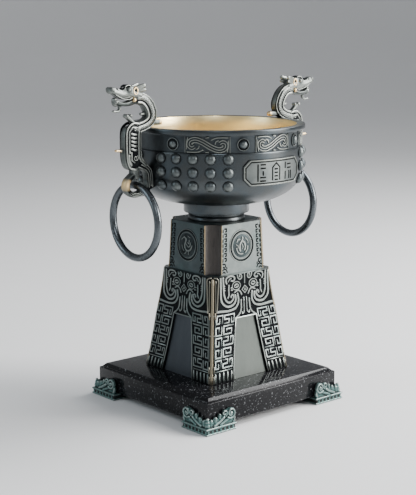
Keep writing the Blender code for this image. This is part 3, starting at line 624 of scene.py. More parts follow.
def make_verdigris(colours):
    """Feet bronze: blue-green in the hollows and rubbed pale on the highs."""
    nodes = Nodes("verdigris_bronze")
    grain = nodes.noise(1100.0, 3.0)
    clouds = nodes.noise(160.0, 4.0)
    worn = nodes.attribute("wear_and_shade")
    worn = nodes.math("ADD", worn, nodes.math("MULTIPLY", nodes.math("SUBTRACT", clouds, 0.5), 0.30))
    green = tuple(colours.verdigris)
    dark = tuple(part * 0.06 for part in green)
    pale = (0.310, 0.355, 0.338)
    metal = nodes.ramp(worn, [(0.22, dark), (0.44, green), (0.62, (0.095, 0.165, 0.158)), (0.86, pale)])
    nodes.link(metal, "Base Color")
    nodes.link(nodes.range(worn, 0.30, 0.80, 0.20, 0.95), "Metallic")
    nodes.link(nodes.range(worn, 0.10, 0.90, 0.60, 0.32), "Roughness")
    nodes.bump(grain, 0.22, 0.0004)
    return nodes.material


def make_polished(colours):
    """Dark steel of the rings with faint rub marks."""
    nodes = Nodes("ring_steel")
    marks = nodes.noise(420.0, 4.0)
    base = tuple(colours.ring)
    pale = tuple(min(part * 1.35, 1.0) for part in base)
    nodes.link(nodes.mix(nodes.range(marks, 0.35, 0.68, 0.0, 1.0), base, pale), "Base Color")
    nodes.link(nodes.range(marks, 0.3, 0.7, 0.24, 0.36), "Roughness")
    nodes.shader.inputs["Metallic"].default_value = 1.0
    nodes.bump(marks, 0.06, 0.0002)
    return nodes.material


def lower_half(z, sizes):
    """Half width of the flared lower pedestal at a height."""
    rise = min(max((z - PEDESTAL_LOW.z) / (WAIST - PEDESTAL_LOW.z), 0.0), 1.0)
    return sizes.waist_half + (sizes.base_half - sizes.waist_half) * (1.0 - rise) ** 1.6


def upper_half(z, sizes):
    """Half width of the tapered upper pedestal at a height."""
    rise = (z - UPPER_BOTTOM) / (PEDESTAL_HIGH.z - UPPER_BOTTOM)
    return sizes.waist_half - 3.1 * MM - 2.2 * MM * rise


def corner_cut(z):
    """Width of the lower pedestal's cut corner at a height."""
    rise = min(max(1.0 - (WAIST - z) / (58.0 * MM), 0.0), 1.0)
    return (4.2 + 6.8 * rise) * MM


def panel_half(z):
    """Half width of the plain sunk panel at a height."""
    rise = (z - PEDESTAL_LOW.z) / (PANEL_TOP - PEDESTAL_LOW.z)
    return (26.0 - 11.5 * rise) * MM


def face_edge(z, sizes):
    """Half width of a face's flat between the corners."""
    if z > WAIST:
        return upper_half(z, sizes) - FLUTE_RADIUS
    return lower_half(z, sizes) - corner_cut(z)


def quarter_turn(quarter):
    """Rotation about the vertical by so many right angles."""
    return Matrix.Rotation(quarter * math.pi / 2, 4, "Z")


def face_place(quarter, sizes):
    """Place on a face of the pedestal: u across, v height, depth out."""
    turn = quarter_turn(quarter).to_3x3()

    def place(u, v, depth):
        half = upper_half(v, sizes) if v > WAIST else lower_half(v, sizes)
        return turn @ Vector((u, -half - depth, v))
    return place


def corner_place(quarter, sizes):
    """Place on a cut corner of the lower pedestal: u across it, v height, depth out."""
    turn = quarter_turn(quarter).to_3x3()

    def place(u, v, depth):
        out = (lower_half(v, sizes) - corner_cut(v) / 2) * math.sqrt(2.0) + depth
        return turn @ Vector(((out + u) / math.sqrt(2.0), (u - out) / math.sqrt(2.0), v))
    return place


def pedestal_section(z, sunk, upper, inset, sizes):
    """Outline of the pedestal at a height, each quarter as a face and a corner."""
    half = (upper_half(z, sizes) if upper else lower_half(z, sizes)) - inset
    cut = FLUTE_RADIUS if upper else corner_cut(z)
    panel = panel_half(min(z, PANEL_TOP))
    flat = half - cut
    row = [(-flat, 0.0), (-panel - 0.4 * MM, 0.0), (-panel, sunk), (panel, sunk), (panel + 0.4 * MM, 0.0),
           (flat, 0.0)]
    quarter = [Vector((u, depth - half, z)) for u, depth in row]
    steps = 10
    for index in range(1, steps):
        share = index / steps
        if upper:
            angle = math.pi / 2 * share
            quarter.append(Vector((half - cut * math.cos(angle), cut * math.sin(angle) - half, z)))
        else:
            quarter.append(Vector((flat + cut * share, cut * share - half, z)))
    return [quarter_turn(number).to_3x3() @ point for number in range(4) for point in quarter]


def build_pedestal_body(sizes):
    """The pedestal's casting with its sunk panels and flutes, without the carved lines."""
    rings = []
    for index in range(13):
        z = PEDESTAL_LOW.z + (PANEL_TOP - PEDESTAL_LOW.z) * index / 12
        rings.append((z, sizes.panel_depth, False, 0.0, 0.02))
    rings.append((PANEL_TOP + 0.4 * MM, 0.0, False, 0.0, 0.02))
    for index in range(1, 10):
        z = PANEL_TOP + (WAIST - 0.4 * MM - PANEL_TOP) * index / 9
        rings.append((z, 0.0, False, 0.0, 0.02))
    rings.append((WAIST, 0.0, False, 0.4 * MM, 0.9))
    top = PEDESTAL_HIGH.z
    rings += [(UPPER_BOTTOM, 0.0, True, 0.0, 0.60), (UPPER_BOTTOM + 1.0 * MM, 0.0, True, 0.0, 0.66)]
    for index in range(1, 6):
        z = UPPER_BOTTOM + (top - 0.5 * MM - UPPER_BOTTOM) * index / 5
        rings.append((z, 0.0, True, 0.0, 0.66))
    rings.append((top, 0.0, True, 0.5 * MM, 0.9))
    points, wear_and_shade = [], []
    for z, sunk, upper, inset, worn in rings:
        section = pedestal_section(z, sunk, upper, inset, sizes)
        points += section
        for index in range(len(section)):
            flute = upper and index % 15 > 5
            # Painted shade: the upper ground of the left and right faces is darker than that of the front and
            # back.
            painted_shade = worn > 0.4 and (flute or index // 15 % 2 == 1)
            wear_and_shade.append(0.44 if painted_shade else worn)
    size = len(points) // len(rings)
    faces, kinds = [], []
    for row in range(len(rings) - 1):
        for index in range(size):
            after = (index + 1) % size
            here, there = row * size, (row + 1) * size
            faces.append((here + index, here + after, there + after, there + index))
            column = index % 15
            panel = column == 2 and rings[row + 1][0] <= PANEL_TOP + 1e-6
            flute = column >= 5 and rings[row][2] and rings[row + 1][2]
            # Panels of the left and right faces take the darker side-panel material, as painted shade.
            kinds.append((3 if index // 15 % 2 == 1 else 1) if panel else 2 if flute else 0)
    faces.append(tuple(range(size)))
    faces.append(tuple(range((len(rings) - 1) * size, len(rings) * size)))
    kinds += [0, 0]
    piece = new_piece("pedestal_body", points, faces)
    mark(piece, "wear_and_shade", wear_and_shade)
    mark(piece, "gilt", [0.0] * len(points))
    piece.data.polygons.foreach_set("material_index", kinds)
    soften(piece, 32.0)
    return piece


def carve_mask(carving, place, sizes):
    """Beast mask of one face: jaws, horns, brows, eyes, nose and stem."""
    low = 112.0 * MM
    tall = WAIST - low
    height = sizes.line_height

    def spot(side, across, up):
        z = low + up * tall
        return side * across * face_edge(min(z, WAIST), sizes), z

    curls = [
        (2.5, [(.970, .985), (.930, .74), (.892, .495), (.84, .368), (.723, .272), (.60, .23), (.473, .246),
               (.378, .304), (.342, .39), (.36, .49)]),
        (2.3, [(.868, .972), (.832, .774), (.80, .60), (.75, .474), (.683, .38), (.583, .328), (.494, .352),
               (.431, .415), (.421, .48), (.468, .512), (.517, .483), (.505, .444)]),
        (1.9, [(.62, .76), (.617, .62), (.60, .52), (.64, .44)]),
        (2.5, [(.99, .150), (.90, .150), (.718, .132), (.525, .130), (.35, .172), (.258, .28), (.247, .40),
               (.281, .516)]),
        (2.0, [(.149, .349), (.149, .189), (.172, .07), (.24, -.016), (.323, -.07)]),
        (2.1, [(.70, .80), (.745, .87), (.733, .945), (.62, .98), (.47, .97), (.40, .91), (.45, .855),
               (.54, .865)]),
        (1.5, [(.66, .85), (.60, .915), (.53, .92)]),
        (1.6, [(.30, .98), (.26, .90), (.19, .865), (.12, .90), (.125, .965), (.185, .985), (.215, .945),
               (.18, .925)]),
        (1.9, [(.40, .55), (.33, .585), (.25, .60), (.17, .55), (.12, .47)]),
        (1.7, [(.05, .10), (.06, .03), (.12, .0), (.125, .045)]),
        (1.6, [(.83, .755), (.77, .755)]),
        (1.6, [(.82, .700), (.76, .700)]),
        (1.6, [(.81, .645), (.75, .645)]),
        (1.6, [(.54, .685), (.475, .685)]),
        (1.6, [(.53, .625), (.46, .625)]),
    ]
    for side in (-1, 1):
        for width, stroke in curls:
            points = stroke if len(stroke) < 3 else curve_through(stroke, 4)
            carving.line([spot(side, a, b) for a, b in points], place, width * 1.16 * MM, height)
        centre = spot(side, .33, .72)
        carving.line(circle(centre, (6.2 * MM, 4.8 * MM), 20, .4), place, 1.5 * MM, height, closed=True)
        carving.line(circle(centre, (2.6 * MM, 1.6 * MM), 16), place, 2.6 * MM, height * 1.2, closed=True)
        slit = [(centre[0] - side * 2.2 * MM, centre[1] + .7 * MM),
                (centre[0] + side * 2.2 * MM, centre[1] - .7 * MM)]
        carving.line(slit, place, 1.9 * MM, height * 1.35, wear_and_shade=0.0)
    carving.line([spot(1, .048, .09), spot(1, .048, .40)], place, 2.0 * MM, height)
    carving.line([spot(-1, .048, .09), spot(-1, .048, .40)], place, 2.0 * MM, height)
    nose = spot(1, 0.0, .60)
    carving.line(circle(nose, (4.4 * MM, 4.4 * MM), 4), place, 1.5 * MM, height, closed=True)
    for turn in range(4):
        angle = math.pi / 4 + turn * math.pi / 2
        lobe = (nose[0] + 1.1 * MM * math.cos(angle), nose[1] + 1.1 * MM * math.sin(angle))
        carving.line(circle(lobe, (.45 * MM, .45 * MM), 6), place, .8 * MM, height, closed=True)
    carving.line([spot(1, 0.0, .75), spot(1, 0.0, .99)], place, 1.9 * MM, height)


def carve_legs(carving, place, sizes):
    """Squared thunder scrolls beside the panel, over a row of short bars."""
    height = sizes.line_height
    first = PEDESTAL_LOW.z + 14.6 * MM
    last = PANEL_TOP + 8.4 * MM
    rows = 5
    pitch = (last - first) / rows
    outer = [(.67, .10), (.67, .92), (.99, .92), (.99, .14), (.82, .14), (.82, .58)]
    inner = [(.01, .92), (.56, .92), (.56, .10), (.13, .10), (.13, .60), (.40, .60), (.40, .36)]
    hooked = [(.56, .92), (.30, .92), (.30, .52), (.56, .52), (.56, .12), (.02, .12), (.02, .90), (.16, .90),
              (.16, .42)]

    def spot(side, across, z):
        start = panel_half(z) + 4.0 * MM
        end = face_edge(z, sizes) - 1.0 * MM
        return side * (start + across * (end - start)), z

    for side in (-1, 1):
        for row in range(rows):
            low = first + row * pitch
            turn = row % 2 == (0 if side > 0 else 1)
            column = inner if row % 2 else hooked
            for motif, flip in ((outer, turn), (column, row % 3 == 1)):
                points = [(a, 1.0 - b if flip else b) for a, b in motif]
                path = [spot(side, a, low + (.04 + b * .90) * pitch) for a, b in points]
                # Dividing by the side-shade factor leaves these scrolls without painted side shade.
                carving.line(path, place, 1.95 * MM, height, wear_and_shade=.72 / carving.side_shade)
        base = PEDESTAL_LOW.z + 13.2 * MM
        carving.line([spot(side, .0, base), spot(side, 1.0, base)], place, 1.6 * MM, height)
        for across in (.03, .26, .50, .74, .97):
            bar = [spot(side, across, PEDESTAL_LOW.z + 1.2 * MM),
                   spot(side, across, PEDESTAL_LOW.z + 11.0 * MM)]
            carving.line(bar, place, 2.6 * MM, height * 1.1)


def carve_panel_frame(carving, place, sizes):
    """Raised line round the top and sides of the plain panel."""
    levels = [PEDESTAL_LOW.z + 0.6 * MM + (PANEL_TOP - PEDESTAL_LOW.z) * index / 6 for index in range(7)]
    right = [(panel_half(z) + 1.5 * MM, z) for z in levels]
    left = [(-u, z) for u, z in reversed(right)]
    carving.line(right + left, place, 1.8 * MM, sizes.line_height, wear_and_shade=1.05)


def carve_roundel(carving, place, quarter, sizes):
    """Ringed roundel with a curled creature: a beast in front and behind, a bird on the sides."""
    middle = UPPER_BOTTOM + 30.5 * MM
    height = sizes.line_height * 0.8
    centre = (0.0, middle)
    disc = [(-.5 * MM, middle), (.5 * MM, middle)]
    # Painted shade: a flat dark ring in the groove between the two raised rings.
    carving.line(circle(centre, (16.8 * MM,) * 2, 48), place, 1.8 * MM, .12 * MM, closed=True, wear_and_shade=0.0)
    carving.line(circle(centre, (6.9 * MM,) * 2, 40), place, 13.0 * MM, .10 * MM, closed=True, wear_and_shade=0.34,
                 edge=.2 * MM)
    carving.line(disc, place, 1.6 * MM, .10 * MM, wear_and_shade=0.34)
    carving.line(circle(centre, (18.5 * MM,) * 2, 48), place, 1.1 * MM, height * .8, closed=True, wear_and_shade=.9)
    carving.line(circle(centre, (14.9 * MM,) * 2, 48), place, 1.1 * MM, height * .8, closed=True, wear_and_shade=.9)
    beast = [
        (2.2, [(-8, 5), (-5.2, 8.2), (-3.0, 7.2)]),
        (2.6, [(1, 10), (.2, 6.0), (-2.6, 2.6), (-3.6, -2.0), (-2.6, -6.0)]),
        (2.6, [(.2, 6.0), (4.0, 3.0), (5.0, -1.6), (3.6, -5.4)]),
        (1.6, [(0, 1.8), (1.2, -1.0), (.2, -3.8)]),
        (1.9, [(-8.6, -2), (-7.0, -6.4), (-3.4, -9.0), (1.0, -9.2)]),
        (1.9, [(8.8, -1), (7.8, -5.2), (4.8, -8.4)]),
        (1.7, [(5.0, 8.6), (8.4, 5.6), (9.2, 2.2)]),
        (1.5, [(-9.0, 2.2), (-6.2, .4), (-6.6, -2.4)]),
    ]
    bird = [
        (2.5, [(-5.4, 9.0), (-2.2, 7.4), (-2.4, 3.6), (-4.0, -.4), (-2.6, -4.6), (2.0, -6.4), (6.6, -4.4),
               (8.6, .2)]),
        (1.8, [(-9.6, 5.4), (-7.4, 7.2), (-5.4, 9.0)]),
        (1.9, [(-1.0, 1.0), (2.2, -1.8), (5.2, -.6), (6.2, 3.4)]),
        (1.7, [(1.2, 3.2), (3.4, 2.2), (3.8, 6.2)]),
        (1.6, [(-.6, -6.6), (-2.2, -9.6), (-4.6, -10.4)]),
        (1.6, [(3.0, -7.2), (3.4, -10.4)]),
        (1.5, [(-8.8, -1.0), (-7.4, -4.6), (-5.2, -7.2)]),
        (1.5, [(1.2, 10.6), (5.0, 9.2)]),
    ]
    for width, stroke in (beast if quarter % 2 == 0 else bird):
        path = [(u * MM, middle + v * MM) for u, v in curve_through(stroke, 4)]
        carving.line(path, place, width * MM, height * 1.3, wear_and_shade=.95)


# Paths of the fret ribbons, which paint the shade of grooves.
FRET_MARKS = ((2.0, [(2.5, .2), (2.5, 3.3)]), (1.8, [(4.8, 3.9), (7.7, 3.8), (7.8, 1.0), (6.0, .6)]))


def carve_frets(carving, place, sizes):
    """Dark hooked marks along both edges of the upper face, ending in curls: nearly flat ribbons of painted
    shade that stand in for cut grooves.
    """
    height = sizes.line_height
    top = PEDESTAL_HIGH.z
    for side in (-1, 1):
        def spot(inward, z):
            return side * (face_edge(z, sizes) - inward * MM), z

        carving.line([spot(.45, UPPER_BOTTOM + .8 * MM), spot(.45, top - .8 * MM)], place, .9 * MM, height,
                     wear_and_shade=.9, gilt=.35)
        z = UPPER_BOTTOM + 15 * MM
        while z < top - 6 * MM:
            for width, mark_path in FRET_MARKS:
                path = [spot(a, z + b * MM) for a, b in mark_path]
                # Painted shade: a flat dark ribbon where a groove would be.
                carving.line(path, place, width * MM, .12 * MM, wear_and_shade=0.0, edge=.1 * MM)
            z += 5.6 * MM
        curls = [
            [(1.6, 12.6), (5.6, 12.2), (6.6, 9.6), (4.4, 8.2), (3.0, 9.4)],
            [(1.6, 5.2), (4.6, 6.6), (7.6, 5.6), (9.4, 2.4)],
            [(1.8, 2.0), (4.2, 3.4), (6.2, 1.8)],
            [(8.2, 8.6), (8.9, 6.8)],
        ]
        for curl in curls:
            path = [spot(a, UPPER_BOTTOM + b * MM) for a, b in curve_through(curl, 3)]
            # Painted shade: a flat dark ribbon where a groove would be.
            carving.line(path, place, 1.7 * MM, .12 * MM, wear_and_shade=0.0, edge=.1 * MM)


def carve_corner(carving, place, sizes):
    """Ribs, cap, bars and beads of one cut corner of the lower pedestal."""
    height = sizes.line_height
    foot = PEDESTAL_LOW.z

    def levels(low, high, count=8):
        return [low + (high - low) * index / count for index in range(count + 1)]

    carving.line([(0.0, z) for z in levels(foot + .6 * MM, WAIST - 3.2 * MM, 14)], place, 3.3 * MM, 1.2 * MM,
                 wear_and_shade=.90, gilt=.30, edge=.8 * MM)
    for side in (-1, 1):
        carving.line([(side * 3.6 * MM, z) for z in levels(120 * MM, WAIST - 4.4 * MM)], place, 1.5 * MM,
                     height, gilt=.12)
        cap = [(side * (5.0 * MM + 1.8 * MM * (z - 118 * MM) / (40 * MM)), z)
               for z in levels(118 * MM, 153 * MM)]
        cap += [(side * 6.2 * MM, 155.6 * MM), (side * 4.4 * MM, 157.0 * MM), (side * 1.6 * MM, 157.2 * MM)]
        carving.line(cap, place, 1.7 * MM, height, gilt=.12)
        carving.line([(side * (3.6 * MM - .9 * MM * (1 - (z - foot) / (78 * MM))), z)
                      for z in levels(64 * MM, 112 * MM)], place, 1.0 * MM, height * .8)
        carving.line([(side * 2.9 * MM, z) for z in (51 * MM, 54 * MM, 58 * MM)], place, 1.7 * MM, 1.2 * MM,
                     gilt=.12)
        carving.line([(side * 2.8 * MM, z) for z in (foot + 1 * MM, foot + 5 * MM, foot + 9 * MM)], place,
                     1.5 * MM, 1.0 * MM, gilt=.12)
        carving.line([(side * 3.3 * MM, z) for z in (111 * MM, 118 * MM)], place, 1.9 * MM, 1.2 * MM,
                     gilt=.25)
    for z, reach in ((114.6 * MM, 3.6 * MM), (92.5 * MM, 3.0 * MM)):
        carving.line([(-reach, z), (0.0, z), (reach, z)], place, 1.8 * MM, 1.1 * MM, gilt=.12)


def wall_place(radius):
    """Place on the bowl's side: u is an arc length from the front, v a height, depth out."""
    def place(u, v, depth):
        angle = u / radius
        return Vector(((radius + depth) * math.sin(angle), -(radius + depth) * math.cos(angle), v))
    return place


def belly_points(radius, depth, foot, bottom, steps=14):
    """Squarish curve from the bowl's wall to its floor."""
    points = []
    for index in range(steps + 1):
        angle = math.pi / 2 * index / steps
        across = max(math.cos(angle), 0.0) ** (2 / BELLY_POWER)
        down = math.sin(angle) ** (2 / BELLY_POWER)
        points.append((foot + (radius - foot) * across, bottom + depth * (1.0 - down)))
    return points


def belly_radius_at(z, sizes):
    """Outer radius of the belly at a height."""
    share = min(max((BELLY_TOP - z) / (BELLY_TOP - BELLY_BOTTOM), 0.0), 1.0)
    across = (1.0 - share ** BELLY_POWER) ** (1 / BELLY_POWER)
    return BOWL_FOOT_RADIUS + (sizes.belly_radius - BOWL_FOOT_RADIUS) * across


def outward_matrix(angle, radius, z, lean=0.0):
    """Frame on the bowl's side whose Z axis points out."""
    out = Vector((math.sin(angle) * math.cos(lean), -math.cos(angle) * math.cos(lean), -math.sin(lean)))
    foot = Vector((radius * math.sin(angle), -radius * math.cos(angle), z))
    return Matrix.Translation(foot) @ out.to_track_quat("Z", "Y").to_matrix().to_4x4()


def build_bowl_body(sizes):
    """The bowl turned from its rim down to its stepped foot, and up again inside."""
    rim, frieze, belly = sizes.rim_radius, sizes.frieze_radius, sizes.belly_radius
    inner = belly - sizes.bowl_wall
    floor = BELLY_BOTTOM + sizes.bowl_wall
    e = 0.5 * MM
    outside = [
        (rim - 1.2 * MM, RIM_TOP), (rim - e, RIM_TOP - .1 * MM), (rim - .1 * MM, RIM_TOP - e),
        (rim, RIM_TOP - 1.2 * MM),
        (rim, RIM_TOP - 4.4 * MM), (rim - .2 * MM, RIM_TOP - 5.1 * MM), (rim - .8 * MM, RIM_TOP - 5.4 * MM),
        (frieze + .7 * MM, FRIEZE_TOP + .9 * MM), (frieze, FRIEZE_TOP), (frieze, FRIEZE_TOP - 2 * MM),
        (frieze, FRIEZE_BOTTOM + 2 * MM), (frieze, FRIEZE_BOTTOM + .2 * MM),
        (belly - 1.0 * MM, FRIEZE_BOTTOM),
        (belly - .3 * MM, FRIEZE_BOTTOM - .3 * MM), (belly, FRIEZE_BOTTOM - 1.0 * MM),
        (belly, FRIEZE_BOTTOM - 2 * MM),
        *belly_points(belly, BELLY_TOP - BELLY_BOTTOM, BOWL_FOOT_RADIUS, BELLY_BOTTOM),
        (BOWL_FOOT_RADIUS, BELLY_BOTTOM - .6 * MM), (BOWL_FOOT_RADIUS, BELLY_BOTTOM - 12.0 * MM),
        (37.8 * MM, BELLY_BOTTOM - 12.8 * MM),
        (37.0 * MM, BELLY_BOTTOM - 13.0 * MM), (33.1 * MM, BELLY_BOTTOM - 13.0 * MM),
        (33.1 * MM, BELLY_BOTTOM - 16.0 * MM),
        (32.3 * MM, BELLY_BOTTOM - 17.0 * MM), (33.1 * MM, BELLY_BOTTOM - 18.0 * MM),
        (33.1 * MM, BOWL_LOW.z + .6 * MM),
        (32.5 * MM, BOWL_LOW.z), (28.1 * MM, BOWL_LOW.z), (28.1 * MM, BELLY_BOTTOM), (0.0, BELLY_BOTTOM),
    ]
    inside = [(0.0, floor), *reversed(belly_points(inner, BELLY_TOP - floor, BOWL_FOOT_RADIUS, floor)),
              (inner, RIM_TOP - 12 * MM), (inner, RIM_TOP - 1.0 * MM), (inner + .3 * MM, RIM_TOP - .3 * MM),
              (inner + 1.0 * MM, RIM_TOP)]
    piece = turned("bowl_body", inside + outside, 160)
    mesh = piece.data
    kinds = []
    for polygon in mesh.polygons:
        centre = polygon.center
        reach = math.hypot(centre.x, centre.y)
        facing_in = polygon.normal.z > .3 or polygon.normal.x * centre.x + polygon.normal.y * centre.y < 0.0
        if facing_in and centre.z > floor - .5 * MM and reach < inner + .35 * MM:
            kinds.append(1)
        else:
            kinds.append(2 if FRIEZE_BOTTOM < centre.z < FRIEZE_TOP and reach < frieze + .1 * MM else 0)
    mesh.polygons.foreach_set("material_index", kinds)
    mark(piece, "wear_and_shade", np.full(len(mesh.vertices), 0.36))
    mark(piece, "gilt", np.zeros(len(mesh.vertices)))
    soften(piece, 40.0)
    return piece


def carve_frieze(carving, facing, sizes):
    """Dragon panels of nested lines for one half of the frieze."""
    radius = sizes.frieze_radius
    place = wall_place(radius)
    middle = (FRIEZE_TOP + FRIEZE_BOTTOM) / 2
    height = 1.1 * MM
    spine = [(-14.2, .8), (-17.0, 2.2), (-19.6, .2), (-18.4, -3.8), (-12.4, -5.4), (-5.2, -3.0), (0.0, 0.0)]
    spine += [(-u, -v) for u, v in reversed(spine[:-1])]
    spine = [(u, v, 5.4) for u, v in curve_through(spine, 4)]
    corners = [
        [(-22.6, 7.8), (-15.0, 8.0), (-9.0, 7.4), (-4.6, 5.4)],
        [(-22.8, 4.8), (-22.6, -2.0), (-21.4, -7.8)],
        [(-12.4, 4.8), (-9.4, 3.6), (-8.6, .8)],
        [(-1.8, 8.2), (1.6, 7.6)],
    ]
    for share in (-1, 0, 1):
        centre = (facing + share * FRIEZE_PITCH) * radius
        hand = -1 if share < 0 else 1
        lines = [(1.6, [point[:2] for point in spine]), (1.6, shifted(spine, 1.0)),
                 (1.6, shifted(spine, -1.0))]
        for corner in corners:
            lines.append((1.5, curve_through(corner, 4)))
            lines.append((1.5, curve_through([(-u, -v) for u, v in corner], 4)))
        for number, (width, stroke) in enumerate(lines):
            path = [(centre + hand * u * MM, middle + v * MM) for u, v in stroke]
            carving.line(path, place, width * MM, height * (1.0 + .02 * number), wear_and_shade=.90)
        for edge in (-24.6, 24.6):
            path = [(centre + edge * MM, middle + v * MM) for v in (-8.8, 0.0, 8.8)]
            carving.line(path, place, 1.2 * MM, height * .9, wear_and_shade=.70)


def carve_name_plate(carving, facing, lettered, sizes):
    """Plate with cut corners, a raised frame and, in front, rows of strokes that aren't letters."""
    radius = sizes.belly_radius
    place = wall_place(radius)
    middle = FRIEZE_BOTTOM - 22.1 * MM
    centre = facing * radius
    half = math.radians(24.0) * radius
    tall = 29.0 * MM
    cut = 7.0 * MM
    stations = [(-half, tall - 2 * cut), (-half + cut, tall)]
    stations += [(-half + cut + (2 * half - 2 * cut) * index / 24, tall) for index in range(1, 25)]
    stations += [(half, tall - 2 * cut)]
    rings = []
    for u, width in stations:
        edge = .5 * MM
        profile = [(-width / 2, -2.0 * MM, 0.0), (-width / 2, 1.2 * MM, .1),
                   (edge - width / 2, 1.9 * MM, .60),
                   (width / 2 - edge, 1.9 * MM, .60), (width / 2, 1.2 * MM, .1), (width / 2, -2.0 * MM, 0.0)]
        rings.append([(place(centre + u, middle + v, depth), wear_and_shade, 0.0) for v, depth, wear_and_shade in profile])
    carving.add_rings(rings, False)
    lifted = wall_place(radius + 1.9 * MM)
    scale = (radius + 1.9 * MM) / radius
    steps = 20
    # The second frame line is flat and dark: painted shade of a groove just inside the raised frame.
    for inset, width, rise, wear_and_shade in ((1.1, 1.5, .55, 1.05), (2.7, 1.3, .12, .10)):
        wide, high = half - inset * MM, tall / 2 - inset * MM
        notch = cut - .42 * (inset - 1.1) * MM
        outline = [(wide, high - notch), (wide - notch, high)]
        outline += [((wide - notch) * (1.0 - 2.0 * index / steps), high) for index in range(1, steps)]
        outline += [(notch - wide, high), (-wide, high - notch)]
        outline += [(u, -v) for u, v in reversed(outline)]
        path = [((centre + u) * scale, middle + v) for u, v in outline]
        carving.line(path, lifted, width * MM, rise * MM, closed=True, wear_and_shade=wear_and_shade, edge=.25 * MM)
    if not lettered:
        return
    marks = [
        [[(-4, 8), (-4, -8)], [(-1.2, 7.6), (3.6, 7.6)], [(-1.2, 4.2), (3.6, 4.2)], [(1.2, 1.2), (1.2, -2.6)],
         [(-1.6, -4.6), (3.8, -4.6)], [(-1.6, -8), (3.8, -8)]],
        [[(-4.2, -8), (-4.2, 4.4), (0, 8.4), (4.2, 4.4), (4.2, -8)], [(-1.7, 2.6), (1.7, 2.6)],
         [(-1.7, -.8), (1.7, -.8)],
         [(-1.7, -4.2), (1.7, -4.2)], [(-1.7, -7.6), (1.7, -7.6)]],
        [[(-4, 8), (-4, 2.4)], [(-4, -.8), (-4, -8)], [(-1.2, 6), (4, 6)], [(-1.2, 2.4), (4, 2.4)],
         [(1.4, -.6), (1.4, -8)],
         [(4.2, -.6), (4.2, -8)]],
    ]
    for number, strokes in enumerate(marks):
        middle_u = centre + (number - 1) * 19.4 * MM
        for stroke in strokes:
            path = [((middle_u + u * 1.25 * MM) * scale, middle + v * 1.15 * MM) for u, v in stroke]
            carving.line(path, lifted, 1.7 * MM, .4 * MM, wear_and_shade=0.0, edge=.25 * MM)


def handle_place(sizes):
    """Place on the right dragon: u out from the rim, v up from it, in millimetres; depth along Y."""
    def place(u, v, depth):
        return Vector((sizes.rim_radius + u * MM, depth, RIM_TOP + v * MM))
    return place


NECK = [(14.5, 33.2, 13.0), (8.0, 32.4, 13.4), (2.0, 28.6, 14.0), (-2.6, 22.0, 14.8), (-4.6, 14.6, 15.0),
        (-1.6, 8.0, 13.6), (6.5, 3.6, 12.6), (15.0, 1.4, 13.0), (20.6, -3.4, 17.0)]
BODY = [(21.0, -1.5, 19.5), (22.4, -8.0, 21.6), (22.3, -26.0, 21.8), (21.6, -36.0, 21.4), (20.8, -40.0, 18.0)]
SHANK = [(16.0, -37.5, 11.5), (6.0, -42.0, 9.4), (0.0, -48.0, 8.4), (-1.4, -60.0, 7.6), (-1.5, -66.0, 7.6)]


